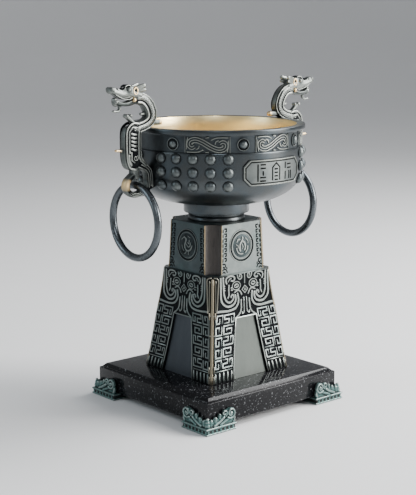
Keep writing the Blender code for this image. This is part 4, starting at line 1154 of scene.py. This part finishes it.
def build_dragon(sizes):
    """The right dragon: rounded limbs joined into one casting; its carved lines come from carve_dragon."""
    place = handle_place(sizes)
    thick = sizes.handle_thickness
    limbs = Carving()
    neck = curve_through(NECK, 4)
    limbs.limb(neck, place, thick * .98, 3.4)
    limbs.limb(curve_through(BODY, 3), place, thick * 1.04, 4.2, blunt=.22)
    limbs.limb(curve_through(SHANK, 3), place, thick, 3.4, blunt=.3)
    limbs.limb([(-3.2, -46.0, 8.0), (-3.4, -56.0, 8.4), (-3.2, -66.0, 8.0)], place, thick * .94, 4.0,
               blunt=.2)
    hook = [(-1.5, -58.0, 7.6), (0.6, -66.0, 8.0), (5.4, -71.6, 7.0)]
    for degrees in range(250, 396, 12):
        angle = math.radians(degrees)
        hook.append((17.1 + 12.9 * math.cos(angle), -62.0 + 10.5 * math.sin(angle), 6.8))
    hook.append((21.5, -51.2, 6.4))
    limbs.limb(hook, place, thick * .92, 3.0, blunt=.3)
    limbs.limb([(18.4, -40.0, 11.0), (17.6, -50.0, 10.4), (17.2, -53.6, 9.4)], place, thick * .80, 4.0,
               blunt=.18)
    limbs.limb(curve_through([(16.6, 4.4, 5.2), (21.5, 9.2, 4.4), (26.6, 13.4, 5.0)], 3), place, thick * .52)
    limbs.limb([(22.6, 9.6, 3.4), (23.2, 14.0, 3.2)], place, thick * .40)
    limbs.limb([(1.6, 15.6, 4.0), (8.0, 15.8, 3.2)], place, thick * .36)
    limbs.limb([(-9.0, 5.6, 6.4), (-18.0, 5.4, 6.2)], place, thick * .56)
    limbs.limb([(30.0, -23.6, 4.2), (35.4, -22.8, 3.6), (42.4, -22.2, 2.4)], place, thick * .34)
    head = [(10.6, 36.6, 9.6), (16.5, 38.6, 12.6), (23.0, 40.4, 14.0), (29.0, 39.6, 12.4), (35.5, 38.8, 9.4),
            (42.0, 40.6, 7.4), (47.0, 42.2, 7.0)]
    limbs.limb(curve_through(head, 3), place, thick * 1.12, 2.6, blunt=.4)
    limbs.limb([(45.0, 42.6, 8.4), (49.2, 43.0, 8.2)], place, thick * .96, 2.4, blunt=.35)
    limbs.limb(curve_through([(15.0, 32.4, 9.4), (22.0, 29.2, 6.8), (30.0, 27.8, 5.2), (37.0, 28.6, 4.6),
                              (41.6, 31.0, 5.0)], 3), place, thick * .88, 2.8)
    limbs.limb(curve_through([(37.4, 27.4, 3.6), (36.6, 22.8, 3.2), (39.6, 20.2, 2.8), (45.0, 20.6, 2.6)],
                             3), place, thick * .34)
    limbs.limb(curve_through([(42.8, 28.6, 6.4), (43.4, 32.6, 6.0)], 2), place, thick * .60, 2.4)
    for side in (-1, 1):
        def horn_place(u, v, depth, side=side):
            lean = side * (.50 + (22.0 - u) * .028) * thick / 2 * 1.15
            return place(u, v, lean + depth)

        limbs.limb(curve_through([(22.0, 42.6, 6.0), (14.6, 44.6, 6.6), (7.6, 47.2, 5.0)], 3), horn_place,
                   3.8 * MM)
        limbs.limb(curve_through([(18.5, 41.0, 5.6), (12.2, 42.4, 4.8), (6.4, 42.6, 3.2)], 3), horn_place,
                   3.2 * MM)
    casting = limbs.piece("dragon_casting")
    apply_modifier(casting, "REMESH", mode="VOXEL", voxel_size=0.55 * MM, use_smooth_shade=True)
    apply_modifier(casting, "SMOOTH", factor=0.5, iterations=3)
    wear_and_shade = mark_by_relief(casting, 3.4, 3)
    co = places(casting)
    flank = np.clip((np.abs(co[:, 1]) / (thick / 2) - .78) / .12, 0.0, 1.0)
    below = np.clip((RIM_TOP + 34.0 * MM - co[:, 2]) / (3.0 * MM), 0.0, 1.0)
    wear_and_shade = wear_and_shade * (1.0 - .78 * flank * below) + .16 * (1.0 - below)
    socket = np.linalg.norm((co - np.array(place(27.6, 43.0, 0.0))) * (1, 0, 1), axis=1) / (5.6 * MM)
    mark(casting, "wear_and_shade", wear_and_shade * np.clip(socket, .45, 1.0))
    gilt = np.zeros(len(co))
    for u, v, reach in ((41.6, -22.2, 4.4), (30.2, -60.5, 4.8), (-19.4, 5.4, 2.4)):
        spot = np.array(place(u, v, 0.0))
        away = np.linalg.norm((co - spot) * (1, .5, 1), axis=1) / (reach * MM)
        gilt = np.maximum(gilt, np.clip(1.6 - away, 0, 1))
    mark(casting, "gilt", gilt)
    return casting


def carve_dragon(carving, side, sizes):
    """Border bands, textured neck, bars and face of one side of the right dragon."""
    flat = handle_place(sizes)
    thick = sizes.handle_thickness / 2

    def on(share):
        def place(u, v, depth):
            return flat(u / MM, v / MM, side * (thick * share + depth - .15 * MM))
        return place

    def band(path, width, share=1.02, height=.5, wear_and_shade=.95, gilt=0.0, root=1.4, smooth=4, closed=False):
        points = curve_through([tuple(point[:2]) for point in path], smooth) if smooth else path
        carving.line([(point[0] * MM, point[1] * MM) for point in points], on(share), width * MM, height * MM,
                     root=root * MM, wear_and_shade=wear_and_shade, gilt=gilt, closed=closed)

    neck = curve_through(NECK, 5)
    band(shifted(neck[:-3], -.84), 1.5, .80, .6, root=1.8, smooth=0)
    band(shifted(neck[:-4], -.17), 5.4, .98, .5, wear_and_shade=.78, smooth=0)
    band(shifted(neck[:-5], .62), 2.6, .90, .55, smooth=0)
    for index in range(3, len(neck) - 7):
        here, after = neck[index], neck[index + 1]
        along = Vector((after[0] - here[0], after[1] - here[1])).normalized()
        across = Vector((-along.y, along.x))
        for reach in (-.34, -.02) if index % 2 else (-.18,):
            spot = Vector((here[0], here[1])) + across * (reach * here[2] / 2)
            band([tuple(spot - along * .6), tuple(spot + along * .6)], 1.3, .98, .62, wear_and_shade=.10, smooth=0)
    band([(13.2, 5.4), (21.6, 6.6), (28.8, 2.2), (31.2, -5.0), (31.2, -25.0), (30.2, -35.0), (26.4, -42.2),
          (18.6, -44.4)], 2.5)
    band([(15.0, 1.4), (23.0, 2.4), (27.6, -2.0), (27.7, -25.0), (24.9, -25.0), (24.9, -33.4),
          (20.8, -36.2)], 1.9, smooth=0)
    band([(28.3, -28.0), (28.0, -33.6), (25.2, -38.8)], 3.4, wear_and_shade=.85)
    band([(14.0, -2.4), (14.9, -8.0), (14.9, -24.0), (14.0, -31.0), (10.4, -35.8), (4.8, -40.6)], 2.8,
         wear_and_shade=.66)
    band([(11.2, -2.6), (12.0, -9.0), (12.0, -24.0), (11.0, -31.0), (7.6, -36.0), (1.8, -41.0)], 1.2, .97)
    for number in range(5):
        v = -5.4 - 4.2 * number
        band([(17.8, v - .7), (21.0, v - .3), (25.0, v + 1.1)], 2.5, smooth=0)
    band(spiral((19.4, -31.2), 3.6, 1.3, 2.4, 14), 1.3, smooth=0)
    band(spiral((19.8, -.4), 1.9, 1.0, .4, 10), 1.2, smooth=0)
    shank = curve_through(SHANK, 4)
    band(shifted(shank[1:-1], .64), 1.6, .94, smooth=0)
    band(shifted(shank[1:-1], -.64), 1.6, .94, smooth=0)
    band(shifted(shank[2:-2], 0.0), 1.3, .98, smooth=0)
    for reach in (.84, 1.0, 1.17):
        arc = []
        for degrees in range(222, 322, 12):
            angle = math.radians(degrees)
            arc.append((17.1 + 12.9 * reach * math.cos(angle), -62.0 + 10.5 * reach * math.sin(angle)))
        band(arc, 1.1, .86, .6, smooth=0)
    # The head: snout, lips, bridge, jaw and brow, then the eye, the ring at the horn's root and knobs.
    band([(44.6, 42.6), (40.0, 39.8), (34.6, 37.0), (28.6, 35.8), (23.4, 36.6)], 3.6, .84, .8, root=2.4)
    band([(45.4, 39.2), (40.6, 36.6), (35.0, 34.2), (29.6, 33.0), (25.2, 33.2), (22.0, 35.0)], 1.3, .80, .8,
         root=2.4)
    band([(42.0, 44.6), (37.6, 42.4), (34.0, 42.6), (31.4, 45.2)], 1.6, .74, .8, root=2.4)
    band([(39.6, 29.4), (34.0, 28.0), (27.0, 28.6), (21.0, 31.0), (17.6, 34.4)], 2.2, .72, .8, root=2.4)
    band([(31.6, 46.6), (27.6, 48.2), (23.4, 47.2)], 1.3, .66, .8, root=2.4)
    carving.ball(flat(27.6, 43.0, side * thick * 1.02), 2.1 * MM, wear_and_shade=1.0)
    band(circle((18.6, 41.8), (2.6, 3.8), 16), 1.5, 1.06, .9, wear_and_shade=1.0, gilt=.85, root=2.2, smooth=0,
         closed=True)
    band([(18.6, 40.6), (18.6, 43.0)], 3.2, 1.06, .3, wear_and_shade=0.0, gilt=0.0, root=2.0, smooth=0)
    carving.ball(flat(48.8, 44.0, side * thick * .56), 3.0 * MM, wear_and_shade=.62)
    carving.ball(flat(42.6, 30.6, side * thick * .42), 2.6 * MM, wear_and_shade=.95)
    carving.ball(flat(19.8, 31.8, side * thick * .80), 2.6 * MM, gilt=.95, wear_and_shade=1.0)
    carving.ball(flat(28.2, 14.6, side * thick * .30), 2.4 * MM, wear_and_shade=.8)
    carving.ball(flat(22.9, 14.8, side * thick * .26), 1.9 * MM, wear_and_shade=.8)


def foot_place(arm):
    """Place on one arm of the front right foot: u along it, v up, depth out of the granite."""
    def place(u, v, depth):
        along = FOOT_HIGH.x - u * MM
        out = SLAB_HIGH.x + 0.3 * MM + depth
        return Vector((out, -along, v * MM)) if arm == 0 else Vector((along, -out, v * MM))
    return place


def build_foot():
    """The front right foot: a toothed plinth with scrolled leaves on both of its arms."""
    outer = FOOT_HIGH.x
    limbs = Carving()

    def plan(inset, z):
        far, end, inner = outer - inset, outer - 43.7 * MM + inset, outer - 24.0 * MM + inset
        return [(Vector((x, -y, z)), .5, 0.0) for x, y in
                ((far, far), (far, end), (inner, end), (inner, inner), (end, inner), (end, far))]

    limbs.add_rings([plan(.2 * MM, 0.0), plan(0.0, .3 * MM), plan(0.0, 1.8 * MM), plan(1.3 * MM, 2.0 * MM),
                     plan(1.3 * MM, 5.8 * MM), plan(0.0, 6.0 * MM), plan(0.0, 7.5 * MM),
                     plan(.3 * MM, 7.8 * MM)], False)
    for arm in (0, 1):
        place = foot_place(arm)

        def raised(middle, place=place):
            return lambda u, v, depth: place(u, v, middle + depth)

        limbs.limb([(5.0, 8.4, 6.4), (20.0, 8.6, 6.8), (38.0, 9.6, 6.4)], raised(2.1 * MM), 4.0 * MM, 4.0)
        limbs.limb(curve_through([(6.0, 10.6, 4.0), (15.0, 12.0, 5.4), (24.0, 15.0, 6.6), (31.0, 19.6, 7.0),
                                  (36.0, 22.6, 5.0)], 3), raised(2.0 * MM), 3.8 * MM, 3.0)
        volute = [(*point, 3.3 - 1.5 * index / 26) for index, point in
                  enumerate(spiral((36.4, 19.6), 6.4, 1.45, -2.3, 26, .22))]
        limbs.limb(volute, raised(3.9 * MM), 4.6 * MM, 2.2)
        limbs.limb([(36.0, 19.4, 3.6), (36.8, 19.8, 3.6)], raised(4.0 * MM), 4.8 * MM, 2.2)
        limbs.limb(curve_through([(40.6, 8.8, 3.2), (42.0, 12.4, 2.8), (41.6, 15.4, 2.4)], 3),
                   raised(3.4 * MM), 4.0 * MM, 2.2)
        tip = [(*point, 2.6 - 1.0 * index / 16) for index, point in
               enumerate(spiral((27.6, 20.6), 3.6, 1.1, -1.2, 16, .3))]
        limbs.limb(tip, raised(3.7 * MM), 3.8 * MM, 2.2)
        limbs.limb(curve_through([(13.0, 9.6, 3.4), (20.0, 12.4, 3.8), (26.0, 16.2, 3.4)], 3),
                   raised(3.8 * MM), 4.2 * MM, 2.2)
        limbs.limb(curve_through([(21.0, 8.8, 3.0), (28.0, 11.6, 3.4), (33.0, 13.4, 2.6)], 3),
                   raised(3.9 * MM), 4.2 * MM, 2.2)
        for u, v, width in ((8.2, 13.0, 6.4), (14.6, 15.0, 6.0), (20.6, 18.6, 4.0)):
            limbs.limb([(u, v - 2.4, width * .7), (u + .4, v, width), (u + .6, v + 1.6, width * .8)],
                       raised(2.7 * MM), 4.8 * MM, 2.0, blunt=.4)
        for index in range(7):
            u = 3.1 + 5.95 * index
            limbs.limb([(u, 2.0, 3.0), (u, 5.8, 3.0)], raised(4.3 * MM), 3.6 * MM, 2.3, blunt=.12)
    corner = outer - 4.4 * MM
    for height, radius in ((10.5 * MM, 3.2 * MM), (14.0 * MM, 2.6 * MM), (17.4 * MM, 1.7 * MM)):
        limbs.ball(Vector((corner, -corner, height)), radius)
    foot = limbs.piece("foot_casting")
    apply_modifier(foot, "REMESH", mode="VOXEL", voxel_size=0.5 * MM, use_smooth_shade=True)
    apply_modifier(foot, "SMOOTH", factor=0.5, iterations=1)
    wear_and_shade = mark_by_relief(foot, 3.0, 2)
    co = places(foot)
    reach = np.abs(co[:, :2]).max(axis=1)
    sunk = (co[:, 2] > 2.1 * MM) & (co[:, 2] < 5.8 * MM) & (reach < outer - 1.0 * MM)
    mark(foot, "wear_and_shade", np.where(sunk, .04, wear_and_shade))
    mark(foot, "gilt", np.zeros(len(foot.data.vertices)))
    return foot


class DRAGONBOWL_OT_granite(bpy.types.Operator):
    """Dress the square granite base with eased, polished edges"""

    bl_idname = "dragon_bowl.granite"
    bl_label = "Granite Base"

    def execute(self, context):
        source = frame["nodes"]["granite_base"]
        slab = source.copy()
        slab.data = source.data.copy()
        slab.name = "granite_slab"
        slab.parent = None
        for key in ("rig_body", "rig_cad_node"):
            if key in slab:
                del slab[key]
        context.scene.collection.objects.link(slab)
        pick(slab)
        bpy.ops.object.mode_set(mode="EDIT")
        bpy.ops.mesh.select_all(action="SELECT")
        bpy.ops.mesh.remove_doubles(threshold=1e-6)
        bpy.ops.mesh.tris_convert_to_quads(face_threshold=.02, shape_threshold=.02)
        bpy.ops.object.mode_set(mode="OBJECT")
        apply_modifier(slab, "BEVEL", width=.25 * MM, segments=2, limit_method="ANGLE",
                       angle_limit=math.radians(20))
        soften(slab, 28.0)
        dress(slab, [make_granite(context.scene.dragon_bowl_colours)], "granite", VESSEL, "granite_base")
        return {"FINISHED"}


class DRAGONBOWL_OT_feet(bpy.types.Operator):
    """Model the four scrolled corner feet"""

    bl_idname = "dragon_bowl.feet"
    bl_label = "Corner Feet"

    def execute(self, context):
        material = make_verdigris(context.scene.dragon_bowl_colours)
        foot = build_foot()
        names = ("front_right", "back_right", "back_left", "front_left")
        for name, piece in zip(names, copies(foot, [quarter_turn(quarter) for quarter in range(4)])):
            piece.name = "foot_" + name
            soften(piece, 50.0)
            dress(piece, [material], "foot_bronze", VESSEL, "corner_foot_" + name)
        return {"FINISHED"}


class DRAGONBOWL_OT_pedestal(bpy.types.Operator):
    """Model the pedestal and carve its masks, scrolls, roundels and corners"""

    bl_idname = "dragon_bowl.pedestal"
    bl_label = "Carved Pedestal"

    def execute(self, context):
        sizes = context.scene.dragon_bowl_sizes
        colours = context.scene.dragon_bowl_colours
        bronze = make_bronze("carved_bronze", colours, tuple(colours.recess), tuple(colours.bronze),
                             tuple(colours.high), (0.050, 0.105, 0.100))
        panel = make_brushed("brushed_panel", (0.056, 0.066, 0.062), (0.128, 0.138, 0.127), (1.0, 1.0, 0.02),
                             0.38)
        flute = make_brushed("brushed_flute", (0.030, 0.030, 0.032), (0.110, 0.098, 0.088), (1.0, 1.0, 0.02),
                             0.30)
        # Painted shade: a darker, bluer copy of the panel metal for the left and right faces.
        shaded_side_panel = make_brushed("brushed_side_panel", (0.028, 0.034, 0.042), (0.080, 0.090, 0.100),
                                  (1.0, 1.0, 0.02), 0.40)
        body = build_pedestal_body(sizes)
        dress(body, [bronze, panel, flute, shaded_side_panel], "pedestal_bronze", VESSEL, "pedestal")
        for quarter, name in enumerate(("front", "right", "back", "left")):
            carving = Carving()
            # Painted shade: lines on the left and right faces are darker than on the front and back.
            carving.side_shade = 0.74 if quarter % 2 else 1.0
            place = face_place(quarter, sizes)
            carve_mask(carving, place, sizes)
            carve_legs(carving, place, sizes)
            carve_panel_frame(carving, place, sizes)
            carve_roundel(carving, place, quarter, sizes)
            carve_frets(carving, place, sizes)
            # The corners are carved without painted side shade.
            carving.side_shade = 1.0
            carve_corner(carving, corner_place(quarter, sizes), sizes)
            piece = carving.piece("pedestal_carving_" + name)
            soften(piece, 50.0)
            dress(piece, [bronze], "pedestal_bronze", VESSEL, "pedestal")
        return {"FINISHED"}


class DRAGONBOWL_OT_bowl(bpy.types.Operator):
    """Turn the bowl and add its frieze, bosses, studs and name plates"""

    bl_idname = "dragon_bowl.bowl"
    bl_label = "Bowl"

    def execute(self, context):
        sizes = context.scene.dragon_bowl_sizes
        colours = context.scene.dragon_bowl_colours
        bronze = make_bronze("bowl_bronze", colours, (0.006, 0.006, 0.006), tuple(colours.satin),
                             (0.300, 0.318, 0.292), (0.100, 0.100, 0.088), 0.34)
        gold = tuple(colours.gold)
        inside = make_brushed("satin_gold", tuple(part * 0.90 for part in gold), gold, (0.05, 0.05, 1.0),
                              0.34)
        dress(build_bowl_body(sizes), [make_satin(colours), inside, bronze], "bowl_bronze", VESSEL, "bowl")
        carving = Carving()
        for facing in (0.0, math.pi):
            carve_frieze(carving, facing, sizes)
            carve_name_plate(carving, facing, facing == 0.0, sizes)
        piece = carving.piece("bowl_carving")
        soften(piece, 50.0)
        dress(piece, [bronze], "bowl_bronze", VESSEL, "bowl")
        self.add_studs(sizes, bronze)
        return {"FINISHED"}

    def add_studs(self, sizes, bronze):
        """Studs on the belly and ringed bosses in the frieze."""
        radius, height = sizes.stud_radius, sizes.stud_height
        dome = [(radius * 1.10, -1.4 * MM), (radius * 1.10, .35 * MM), (radius * 1.02, .6 * MM)]
        dome += [(radius * math.cos(math.pi / 2 * index / 7),
                  .6 * MM + (height - .6 * MM) * math.sin(math.pi / 2 * index / 7))
                 for index in range(8)]
        stud = turned("stud", dome, 24)
        # Each stud is darkest at its foot ring, where it meets the wall, and paler over its dome.
        self.mark_turned(stud, dome, [0.05, 0.10, 0.30] + [0.50 + 0.05 * index / 7 for index in range(8)])
        matrices = []
        for row in range(3):
            z = FRIEZE_BOTTOM - (6.6 + 14.9 * row) * MM
            lean = math.atan2(belly_radius_at(z + MM, sizes) - belly_radius_at(z - MM, sizes), 2 * MM)
            for facing in (0.0, math.pi):
                for side in (-1, 1):
                    for column in range(5):
                        angle = facing + side * math.radians(33.5 + 11.4 * column)
                        matrices.append(outward_matrix(angle, belly_radius_at(z, sizes), z, lean))
        studs = join("bowl_studs", copies(stud, matrices))
        soften(studs, 45.0)
        dress(studs, [bronze], "bowl_bronze", VESSEL, "bowl")
        profile = [(7.3 * MM, -1.2 * MM), (7.3 * MM, .9 * MM), (7.0 * MM, 1.25 * MM), (6.3 * MM, 1.25 * MM),
                   (5.9 * MM, .6 * MM), (5.0 * MM, .5 * MM)]
        profile += [(4.7 * MM * math.cos(math.pi / 2 * index / 6),
                     .5 * MM + 3.5 * MM * math.sin(math.pi / 2 * index / 6))
                    for index in range(7)]
        boss = turned("boss", profile, 28)
        worn = [.1, .3, .62, .62, .05, .05] + [0.42 + 0.22 * index / 6 for index in range(7)]
        self.mark_turned(boss, profile, worn)
        middle = (FRIEZE_TOP + FRIEZE_BOTTOM) / 2
        matrices = [outward_matrix(facing + share * FRIEZE_PITCH, sizes.frieze_radius, middle)
                    for facing in (0.0, math.pi) for share in (-1.5, -.5, .5, 1.5)]
        bosses = join("frieze_bosses", copies(boss, matrices))
        soften(bosses, 40.0)
        dress(bosses, [bronze], "bowl_bronze", VESSEL, "bowl")

    def mark_turned(self, piece, profile, wear_and_shade):
        """Mark a turned piece's points with the wear-and-shade value of the profile point that they come
        from.
        """
        co = places(piece)
        reach = np.hypot(co[:, 0], co[:, 1])
        line = np.array(profile)
        nearest = ((reach[:, None] - line[:, 0]) ** 2 + (co[:, 2][:, None] - line[:, 1]) ** 2).argmin(axis=1)
        mark(piece, "wear_and_shade", np.array(wear_and_shade)[nearest])
        mark(piece, "gilt", np.zeros(len(co)))


class DRAGONBOWL_OT_dragons(bpy.types.Operator):
    """Model the two dragon handles"""

    bl_idname = "dragon_bowl.dragons"
    bl_label = "Dragon Handles"

    def execute(self, context):
        sizes = context.scene.dragon_bowl_sizes
        colours = context.scene.dragon_bowl_colours
        bronze = make_bronze("dragon_bronze", colours, tuple(colours.recess), (0.080, 0.090, 0.087),
                             (0.235, 0.248, 0.232), (0.090, 0.104, 0.094), 0.40)
        casting = build_dragon(sizes)
        lines = Carving()
        for side in (-1, 1):
            carve_dragon(lines, side, sizes)
        dragon = join("dragon", [casting, lines.piece("dragon_lines")])
        for name, piece in zip(("right", "left"), copies(dragon, [Matrix(), quarter_turn(2)])):
            piece.name = "dragon_" + name
            soften(piece, 55.0)
            dress(piece, [bronze], "handle_bronze", VESSEL, "dragon_handle_" + name)
        return {"FINISHED"}


class DRAGONBOWL_OT_rings(bpy.types.Operator):
    """Add the two hanging rings"""

    bl_idname = "dragon_bowl.rings"
    bl_label = "Hanging Rings"

    def execute(self, context):
        sizes = context.scene.dragon_bowl_sizes
        material = make_polished(context.scene.dragon_bowl_colours)
        for name, side in (("right", 1), ("left", -1)):
            clear_selection()
            bpy.ops.mesh.primitive_torus_add(
                major_segments=120, minor_segments=24, major_radius=sizes.ring_radius,
                minor_radius=sizes.ring_tube, rotation=(0.0, math.pi / 2, 0.0),
                location=(side * PIVOT.x, 0.0, PIVOT.z - sizes.ring_radius))
            ring = context.view_layer.objects.active
            ring.name = "hanging_ring_" + name
            settle(ring)
            soften(ring, 60.0)
            dress(ring, [material], "ring_bronze", name + "_ring", "ring_" + name)
        return {"FINISHED"}


class DRAGONBOWL_OT_stage(bpy.types.Operator):
    """Set up the floor, the studio light and the camera"""

    bl_idname = "dragon_bowl.stage"
    bl_label = "Stage"

    def execute(self, context):
        scene = context.scene
        clear_selection()
        sweep = [(0.0, 0.0), (2.6, 0.0), (3.6, .05), (4.5, .25), (5.2, .70), (5.7, 1.4), (5.9, 2.2)]
        floor = turned("floor", [(radius, height - .0002) for radius, height in sweep], 96)
        if floor.data.polygons[0].normal.z < 0.0:
            floor.data.flip_normals()
        soften(floor, 60.0)
        nodes = Nodes("pale_floor")
        base = tuple(scene.dragon_bowl_colours.floor)
        nodes.link(nodes.mix(nodes.noise(3.0), base, tuple(part * .96 for part in base)), "Base Color")
        nodes.shader.inputs["Roughness"].default_value = 0.6
        nodes.shader.inputs["Specular IOR Level"].default_value = 0.25
        floor.data.materials.append(nodes.material)
        self.add_world(scene)
        lamps = [
            ("key", (1.35, -1.65, 0.85), (0.0, 0.0, 0.20), (1.0, 1.1), 80.0, (1.0, 0.99, 0.97)),
            ("side", (-1.75, 0.75, 0.95), (0.0, 0.0, 0.20), (0.5, 1.2), 9.0, (0.80, 0.93, 1.0)),
            ("top", (1.10, -0.38, 1.45), (0.0, 0.0, 0.10), (1.2, 1.0), 54.0, (1.0, 1.0, 1.0)),
            ("front", (-1.10, -1.45, 1.30), (0.0, 0.0, 0.25), (0.5, 0.6), 8.0, (0.94, 0.97, 1.0)),
        ]
        for name, place, aim, (wide, tall), power, colour in lamps:
            bpy.ops.object.light_add(type="AREA", location=place)
            lamp = context.view_layer.objects.active
            lamp.name = name + "_softbox"
            lamp.rotation_euler = (Vector(aim) - Vector(place)).to_track_quat("-Z", "Y").to_euler()
            lamp.data.shape = "RECTANGLE"
            lamp.data.size = wide
            lamp.data.size_y = tall
            lamp.data.energy = power
            lamp.data.color = colour
        self.add_camera(scene)
        return {"FINISHED"}

    def add_world(self, scene):
        """Soft grey surroundings, the same all round."""
        world = bpy.data.worlds.new("studio")
        world.use_nodes = True
        world.node_tree.nodes["Background"].inputs["Color"].default_value = (0.80, 0.83, 0.87, 1.0)
        world.node_tree.nodes["Background"].inputs["Strength"].default_value = 0.38
        scene.world = world

    def add_camera(self, scene):
        """Camera at the photograph's place, height and lens."""
        heading = math.radians(-41.125)
        distance = 1.4741
        bpy.ops.object.camera_add(
            location=(math.sin(heading) * distance, -math.cos(heading) * distance, 0.4637),
            rotation=(math.radians(90.0 - 10.856), 0.0, heading))
        camera = bpy.context.view_layer.objects.active
        camera.name = "camera"
        camera.data.sensor_width = 36.0
        camera.data.lens = 92.86
        camera.data.shift_x = -0.0169
        camera.data.clip_start = 0.01
        scene.camera = camera


class DRAGONBOWL_PT_panel(bpy.types.Panel):
    """Sizes, colours and steps of the dragon bowl"""

    bl_idname = "DRAGONBOWL_PT_panel"
    bl_label = "Dragon Bowl"
    bl_space_type = "VIEW_3D"
    bl_region_type = "UI"
    bl_category = "Dragon Bowl"

    def draw(self, context):
        layout = self.layout
        for group in (context.scene.dragon_bowl_sizes, context.scene.dragon_bowl_colours):
            box = layout.box()
            for name in group.__annotations__:
                box.prop(group, name)
        for step in STEPS:
            layout.operator(step.bl_idname)


STEPS = (DRAGONBOWL_OT_stage, DRAGONBOWL_OT_granite, DRAGONBOWL_OT_feet, DRAGONBOWL_OT_pedestal,
         DRAGONBOWL_OT_bowl, DRAGONBOWL_OT_dragons, DRAGONBOWL_OT_rings)
CLASSES = (DragonBowlSizes, DragonBowlColours, *STEPS, DRAGONBOWL_PT_panel)


def register():
    for item in CLASSES:
        bpy.utils.register_class(item)
    bpy.types.Scene.dragon_bowl_sizes = PointerProperty(type=DragonBowlSizes)
    bpy.types.Scene.dragon_bowl_colours = PointerProperty(type=DragonBowlColours)


def unregister():
    del bpy.types.Scene.dragon_bowl_colours
    del bpy.types.Scene.dragon_bowl_sizes
    for item in reversed(CLASSES):
        bpy.utils.unregister_class(item)


def main():
    """Register the add-on and run its steps in order."""
    register()
    bpy.ops.dragon_bowl.stage()
    bpy.ops.dragon_bowl.granite()
    bpy.ops.dragon_bowl.feet()
    bpy.ops.dragon_bowl.pedestal()
    bpy.ops.dragon_bowl.bowl()
    bpy.ops.dragon_bowl.dragons()
    bpy.ops.dragon_bowl.rings()


if __name__ == "__main__":
    main()
